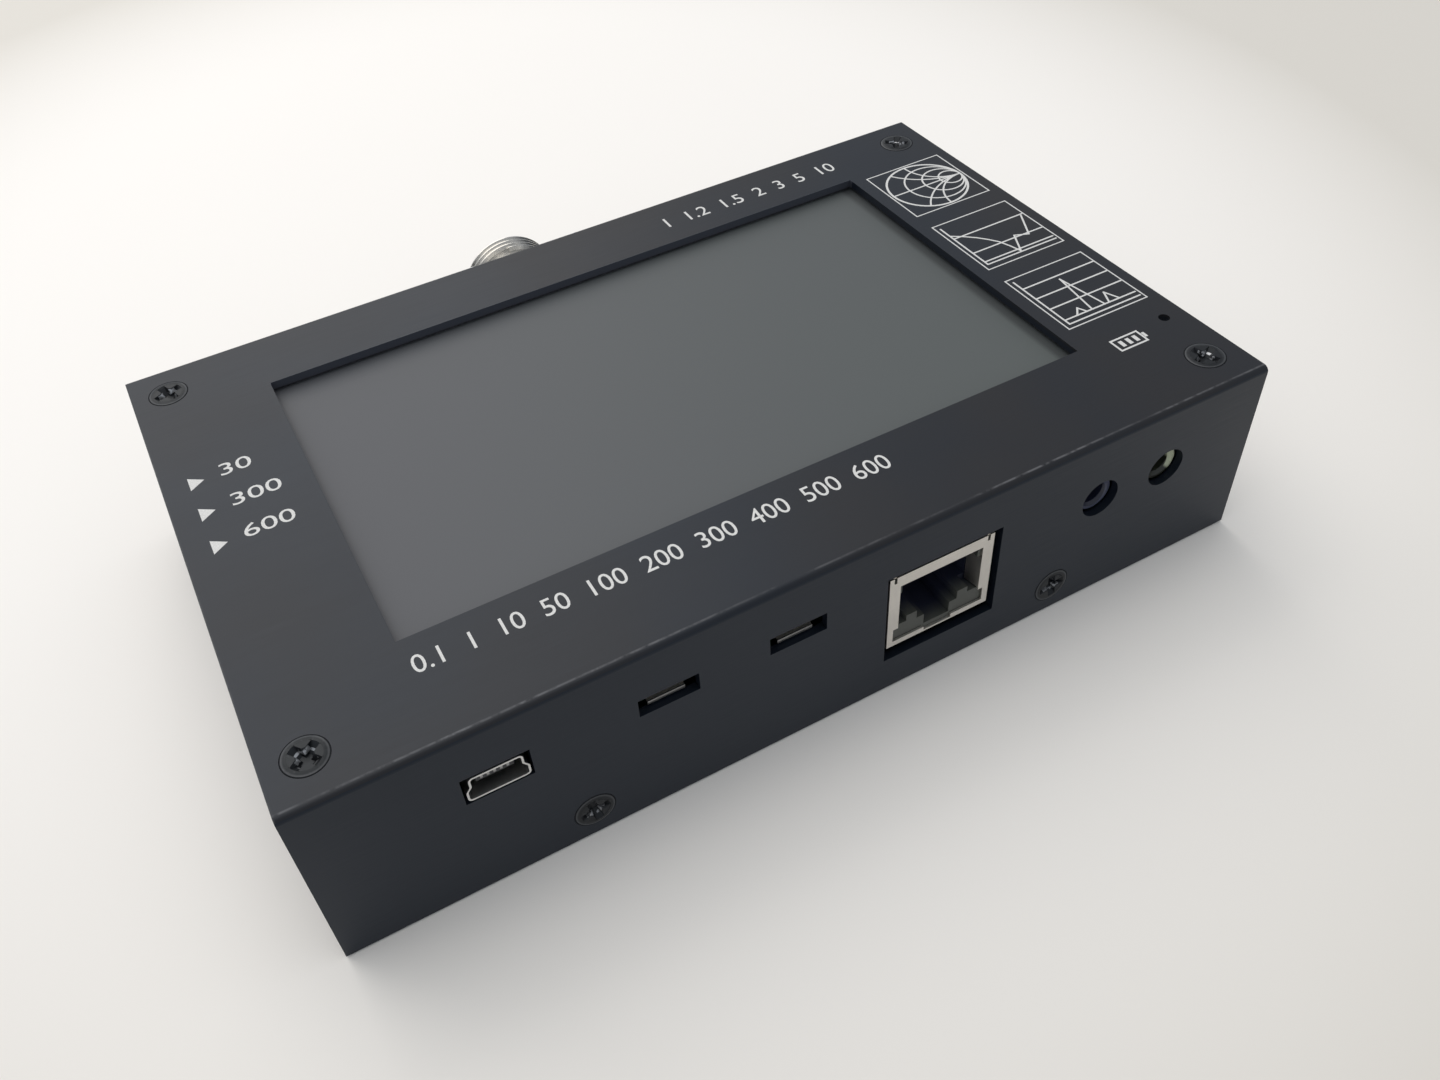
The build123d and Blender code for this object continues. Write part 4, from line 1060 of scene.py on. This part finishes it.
def ridged_lever(material):
    """The slide switch's lever, with ridges across its tip for the fingernail."""
    low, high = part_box("power_switch_lever")
    bm = copy_node("power_switch_lever")
    bmesh.ops.holes_fill(bm, edges=cut_off(bm, (1, 0, 0), (high.x - GROOVE, 0, 0)))
    pitch = (high.y - low.y) / RIDGES
    for i in range(RIDGES):
        start = low.y + pitch * (i + (1 - RIDGE_SHARE) / 2)
        slab(bm, (high.x - GROOVE * 1.5, start, low.z + RIDGE_INSET),
             (high.x, start + pitch * RIDGE_SHARE, high.z - RIDGE_INSET), RIDGE_ROUND)
    settle("lever_ridges", bm, material, "power_lever",
           replaces=("power_switch_lever",))


# ---- stage
CAMERA_PLACE = Vector((-56.967, -126.610, 136.980)) * MM
CAMERA_AZIMUTH = math.radians(-24.6)
CAMERA_ELEVATION = math.radians(43.85)
CAMERA_ROLL = math.radians(-5.35)
FOCAL_LENGTH = 31.354       # in millimetres, as is the sensor's width
SENSOR_WIDTH = 36
FRAME_SHIFT = (0.01992, -0.02416)
SKY_COLOUR = (0.92, 0.97, 1.03, 1)
LAMP_COLOUR = (1.0, 0.955, 0.90)
KEY_LAMP = ((-0.18, 0.85, 0.80), (1.3, 0.9))    # place and size, in metres
TOP_LAMP = ((-0.15, 0.15, 1.1), (1.0, 1.0))
FLOOR_HALF = 3.0                                # half the floor's width, in metres
LIGHT_POOL_MIDDLE = (5 * MM, 85 * MM)               # of the painted pool of light on the floor
LIGHT_POOL_SQUEEZE = 0.9                            # its width, as a share of its depth
LIGHT_POOL_REACH = (100 * MM, 185 * MM)             # where the painted pool of light begins to fall off, and where it ends
FAR_SHADE_SHARES = (0.75, 0.74, 0.71)                 # colour of the painted darker far floor, against the near one


def floor_material(look):
    """Pale table top with a painted pool of light: it falls off a little towards the edges."""
    finish = Finish("floor_white", roughness=0.7)
    soft = finish.noise(6, detail=2)
    near = finish.blend(soft, look.floor_colour, [c * 0.985 for c in look.floor_colour])
    across = finish.axis("X") - LIGHT_POOL_MIDDLE[0]
    along = (finish.axis("Y") - LIGHT_POOL_MIDDLE[1]) * LIGHT_POOL_SQUEEZE
    # Painted light: the floor darkens away from the middle of the pool
    falloff = finish.spread((across ** 2 + along ** 2) ** 0.5, *LIGHT_POOL_REACH)
    far = tint(look.floor_colour, FAR_SHADE_SHARES)
    finish.feed("Base Color", finish.blend(falloff * falloff, near, far))
    return finish.material


class ANALYSER_OT_stage(bpy.types.Operator):
    """Set the floor, the light and the camera"""
    bl_idname = "analyser.stage"
    bl_label = "Stage"

    def execute(self, context):
        look = context.scene.stage_look
        bm = bmesh.new()
        bmesh.ops.create_grid(bm, x_segments=1, y_segments=1, size=FLOOR_HALF)
        mesh = bpy.data.meshes.new("floor")
        bm.to_mesh(mesh)
        bm.free()
        mesh.materials.append(floor_material(look))
        floor = bpy.data.objects.new("floor", mesh)
        context.scene.collection.objects.link(floor)
        light_room(context.scene, look)
        place_camera(context.scene)
        context.scene.view_settings.view_transform = "Standard"
        return {"FINISHED"}


def light_room(scene, look):
    """An even pale room, one large soft lamp behind the case to its left, and one overhead."""
    world = bpy.data.worlds.new("room")
    world.use_nodes = True
    sky = world.node_tree.nodes["Background"]
    sky.inputs["Color"].default_value = SKY_COLOUR
    sky.inputs["Strength"].default_value = look.world_level
    scene.world = world
    soft_lamp(scene, "key", *KEY_LAMP, look.key_level)
    soft_lamp(scene, "top", *TOP_LAMP, look.top_level)


def soft_lamp(scene, name, place, size, power):
    """A large flat lamp that faces the case."""
    lamp = bpy.data.lights.new(name, "AREA")
    lamp.energy = power
    lamp.shape = "RECTANGLE"
    lamp.size, lamp.size_y = size
    lamp.color = LAMP_COLOUR
    holder = bpy.data.objects.new(name, lamp)
    holder.location = place
    holder.rotation_euler = (-holder.location).to_track_quat("-Z", "Y").to_euler()
    scene.collection.objects.link(holder)


def place_camera(scene):
    """The camera stands at the front left, above the case, and leans a little."""
    lens = bpy.data.cameras.new("camera")
    lens.lens = FOCAL_LENGTH
    lens.sensor_width = SENSOR_WIDTH
    lens.shift_x, lens.shift_y = FRAME_SHIFT
    lens.clip_start = 0.01
    camera = bpy.data.objects.new("camera", lens)
    flat = math.cos(CAMERA_ELEVATION)
    back = Vector((flat * math.sin(CAMERA_AZIMUTH), -flat * math.cos(CAMERA_AZIMUTH),
                   math.sin(CAMERA_ELEVATION)))
    right = Vector((0, 0, 1)).cross(back).normalized()
    up = back.cross(right)
    turned = Matrix((right, up, back)).transposed() @ Matrix.Rotation(CAMERA_ROLL, 3, "Z")
    camera.matrix_world = Matrix.Translation(CAMERA_PLACE) @ turned.to_4x4()
    scene.collection.objects.link(camera)
    scene.camera = camera


OPERATORS = (ANALYSER_OT_case, ANALYSER_OT_fixings, ANALYSER_OT_display, ANALYSER_OT_print,
             ANALYSER_OT_sockets, ANALYSER_OT_connector, ANALYSER_OT_boards, ANALYSER_OT_power,
             ANALYSER_OT_stage)


class ANALYSER_PT_panel(bpy.types.Panel):
    """Lists the pieces of the analyser"""
    bl_idname = "ANALYSER_PT_panel"
    bl_label = "Antenna analyser"
    bl_space_type = "VIEW_3D"
    bl_region_type = "UI"
    bl_category = "Analyser"

    def draw(self, context):
        for operator in OPERATORS:
            self.layout.operator(operator.bl_idname)
        for name, group in LOOKS.items():
            column = self.layout.column(align=True)
            for setting in group.__annotations__:
                column.prop(getattr(context.scene, name), setting)


def register():
    """Register the settings, operators and panel."""
    for name, group in LOOKS.items():
        bpy.utils.register_class(group)
        setattr(bpy.types.Scene, name, bpy.props.PointerProperty(type=group))
    for cls in (*OPERATORS, ANALYSER_PT_panel):
        bpy.utils.register_class(cls)


def unregister():
    """Take the settings, operators and panel away."""
    for cls in (ANALYSER_PT_panel, *reversed(OPERATORS)):
        bpy.utils.unregister_class(cls)
    for name, group in LOOKS.items():
        delattr(bpy.types.Scene, name)
        bpy.utils.unregister_class(group)


def main():
    register()
    for operator in OPERATORS:
        group, name = operator.bl_idname.split(".")
        getattr(getattr(bpy.ops, group), name)()


if __name__ == "__main__":
    main()
